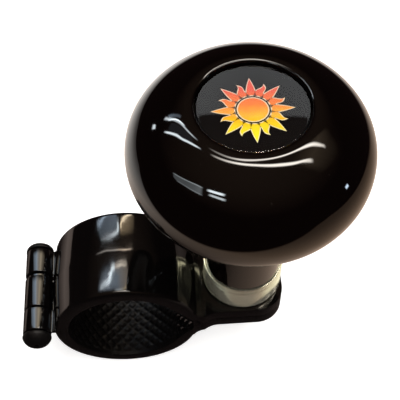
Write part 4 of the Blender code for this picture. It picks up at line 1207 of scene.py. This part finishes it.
def ring_reflections(ring):
    """The window's cold panes and bright edges, and the lamp's warm ones, that the ring shows."""
    cold_line = [(-57, 47.5), (-50, 53), (-45, 56.3), (-39.5, 58.4), (-31.5, 59.4), (-23.5, 61.2)]
    stripe("cold_line", cold_line, 1.2, [7, 16, 20, 26, 23, 12], COLD_WHITE, ring)
    stripe("cold_line_end", [(-27, 60.4), (-15, 62.6), (-6, 63.1), (3, 63.2), (13, 62.4)], 0.6,
           [8, 18, 17, 15, 11], (1.0, 0.88, 0.72), ring)
    pane_near = [(-58, 44), (-52, 47), (-46.5, 50), (-40, 54), (-32, 57.7), (-22, 60.3), (-10, 61.6),
                 (5, 62.3), (18, 62.3)]
    pane_far = [(-60, 47), (-56.5, 51), (-52, 57), (-46, 61.5), (-37, 65), (-22, 69), (-8, 70.5),
                (8, 70), (22, 67)]
    panel("window_pane", pane_near, pane_far, [1, 2, 2.8, 3.3, 3.5, 3.2, 2.8, 2.6, 2.4],
          [COLD_BLUE] * 6 + [(0.9, 0.92, 0.95), (1.0, 0.9, 0.8), (1.0, 0.85, 0.7)],
          0.35, ring, RING_TOP)
    panel("warm_line", [(24, 61), (24.5, 63), (24, 65.3), (18, 68), (4, 71.5), (-16, 71), (-36, 67.5)],
          [(17.5, 61.8), (18, 63.7), (17.5, 65.4), (12, 66.9), (1, 68.2), (-20, 67.8), (-36, 64.5)],
          [4, 9, 10, 8, 4, 8, 4], [LAMP_WARM] * 5 + [COLD_WHITE] * 2, 0.4, ring, RING_TOP)

    panel("low_pane", [(-41, 30), (-36, 32), (-28, 33), (-18, 34), (-9, 34)],
          [(-39.5, 39), (-34, 43), (-28, 46.5), (-19, 49.3), (-9, 50.3)],
          [1.2, 1.6, 2, 2.4, 3], COLD_BLUE, 0.15, ring, RING_TOP)
    panel("low_edge", [(-39, 40.2), (-33.7, 44), (-27.5, 47.2), (-18.2, 50), (-9.5, 51), (-6.3, 50),
                       (-6.7, 47)],
          [(-39.4, 38.3), (-34.4, 42.2), (-28.6, 45.5), (-20, 48.3), (-12.2, 49.5), (-11, 49),
           (-11.5, 47)],
          [2.5, 8, 13, 19, 21, 18, 14], COLD_WHITE, 0.4, ring, RING_TOP)
    stripe("low_upper", [(-40, 32), (-34.7, 36), (-26.5, 37.5), (-18, 38)], 1.4, [5, 8, 9, 7],
           COLD_BLUE, ring)
    panel("warm_arc", [(-4.3, 50), (-4, 48.3), (2.5, 46.6), (9.7, 43), (15, 38)],
          [(-0.7, 50), (-0.8, 48.6), (4.5, 48), (11.5, 46.6), (19.5, 43.5)],
          [14, 22, 26, 22, 14], (1.0, 0.82, 0.58), 0.4, ring, RING_TOP)
    panel("warm_fill", [(-6, 48.5), (4, 46.5), (13, 44), (22, 41)],
          [(-6, 51.7), (3, 52), (15, 50.3), (23, 47)], [4, 3, 2, 0.8], AMBER, 0.25, ring, RING_TOP)
    crease = [(-49.5, 37.5), (-43.5, 43), (-36, 47.3), (-27.7, 51.5), (-18, 54.7), (-6.6, 56.5),
              (5.5, 57), (23, 53)]
    stripe("crease_light", crease, 1.5, [0.6, 4, 6.5, 7, 8, 9, 16, 8],
           [(1.0, 0.92, 0.84)] * 5 + [(1.0, 0.8, 0.62)] * 3, ring)


def collar_reflections(collar):
    """The low surroundings that the collar shows, whatever stands between, by azimuth from behind."""
    place = Vector((KNOB_X, 0.0, COLLAR_TOP))
    ways = [-4, -24, -40, -56, -72, -106, -144, -192, -214, -234, -250, -274, -304, -334]
    levels = [2, 6, 9, 6, 1.6, 0.4, 0.1, 0.06, 0.1, 0.3, 0.7, 0.8, 1.2, 1]
    tints = [(1.0, 0.97, 0.76)] * 4 + [(0.8, 1.0, 0.92)] * 2 + [(1.0, 0.78, 0.55)] * 4
    tints += [(1.0, 0.94, 0.7)] * 4
    for name, low, high, gain in (("collar_low", -78, -25, 1.0), ("collar_high", -25, 35, 1.5)):
        panel(name, [(way, low) for way in ways], [(way, high) for way in ways],
              [gain * level for level in levels], tints, 0.02, collar, place)
        bpy.data.objects[name].light_linking.blocker_collection = collar


def clamp_reflections():
    """What the pieces of the clamp show, in directions as seen from the top of the ring."""
    ring = receivers("ring_pieces", "casting_upper", "casting_lower", "rivet_cap")
    knuckles = receivers("knuckle_pieces", "knuckles_upper", "knuckles_lower")
    cast = [kind + half for kind in ("casting_", "lug_", "knuckles_") for half in ("upper", "lower")]
    sheet_under_clamp(receivers("metal_pieces", *cast, "rivet", "rivet_cap", "turned_spindle",
                                "hex_bolt", "flat_washer", "split_washer"))
    ring_reflections(ring)
    near = [(-47, 24), (-42, 31), (-36, 37), (-28, 41), (-18, 44), (-7, 46), (5, 47), (17, 45),
            (27, 41), (36, 36), (44, 30)]
    far = [(-64, 46), (-62, 56), (-56, 66), (-46, 73), (-26, 76), (-3, 77), (18, 76), (38, 73),
           (48, 67), (56, 60), (62, 50)]
    panel("hinge_window", near, far, [2, 3, 4.5, 6, 4.5, 3.4, 4.4, 5.5, 3, 1.5, 1],
          [COLD_BLUE] * 4 + [(1.0, 0.95, 0.88)] * 2 + [(1.0, 0.85, 0.62)] * 5,
          0.15, knuckles, RING_TOP)
    panel("hinge_glow", [(50, 38), (53, 17), (53, -10)], [(60, 41), (64, 18), (64, -10)],
          0.7, (1.0, 0.8, 0.45), 0.3, knuckles, RING_TOP)
    collar_reflections(receivers("collar_pieces", "turned_spindle"))
    stripe("lug_edge_light", [(29, 62.5), (33, 62.5)], 4.0, 5.0, LAMP_WARM,
           receivers("lug_pieces", "lug_upper"), soft=0.3)


def world():
    """A dim warm room, lighter overhead, which the camera itself sees as a pale backdrop."""
    room = bpy.data.worlds.new("room")
    bpy.context.scene.world = room
    tree = emptied_tree(room)
    overhead = mapped(tree, coordinate(tree, "Z", "Generated"), 0.45, 0.95)
    glow = mixed_colour(tree, overhead, (0.015, 0.008, 0.008), (0.16, 0.11, 0.08))
    light = add_node(tree, "Background", {"Color": glow}).outputs["Background"]
    backdrop = add_node(tree, "Background", {"Color": (0.93, 0.93, 0.93)}).outputs["Background"]
    seen = add_node(tree, "LightPath").outputs["Is Camera Ray"]
    mix = add_node(tree, "MixShader", {"Fac": seen, 1: light, 2: backdrop}).outputs["Shader"]
    add_node(tree, "OutputWorld", {"Surface": mix})


CAMERA_PLACE = Vector((0.01331, -0.13246, 0.2307))
CAMERA_AZIMUTH = 3.73            # of the way that it looks
CAMERA_ELEVATION = 54.77
CAMERA_ROLL = -0.22
CAMERA_LENS = 81.0
CAMERA_SENSOR = 36.0


def camera():
    """The photograph's view, from the front and well above."""
    data = bpy.data.cameras.new("camera")
    data.lens = CAMERA_LENS
    data.sensor_width = CAMERA_SENSOR
    data.sensor_fit = "HORIZONTAL"
    data.clip_start = 0.001
    back = toward(CAMERA_AZIMUTH + 180, CAMERA_ELEVATION)
    level = toward(CAMERA_AZIMUTH + 90, 0)
    upright = back.cross(level)
    roll = math.radians(CAMERA_ROLL)
    right = level * math.cos(roll) + upright * math.sin(roll)
    up = upright * math.cos(roll) - level * math.sin(roll)
    obj = placed("camera", data)
    turn = Matrix((right, up, back)).transposed().to_4x4()
    obj.matrix_world = Matrix.Translation(CAMERA_PLACE) @ turn
    bpy.context.scene.camera = obj


knob()
emblem()
clamp()
hinge()
spindle()
bolt()
inner_pieces()
pale_floor()
soft_key()
knob_reflections()
clamp_reflections()
world()
camera()
bpy.context.scene.view_settings.view_transform = "Standard"
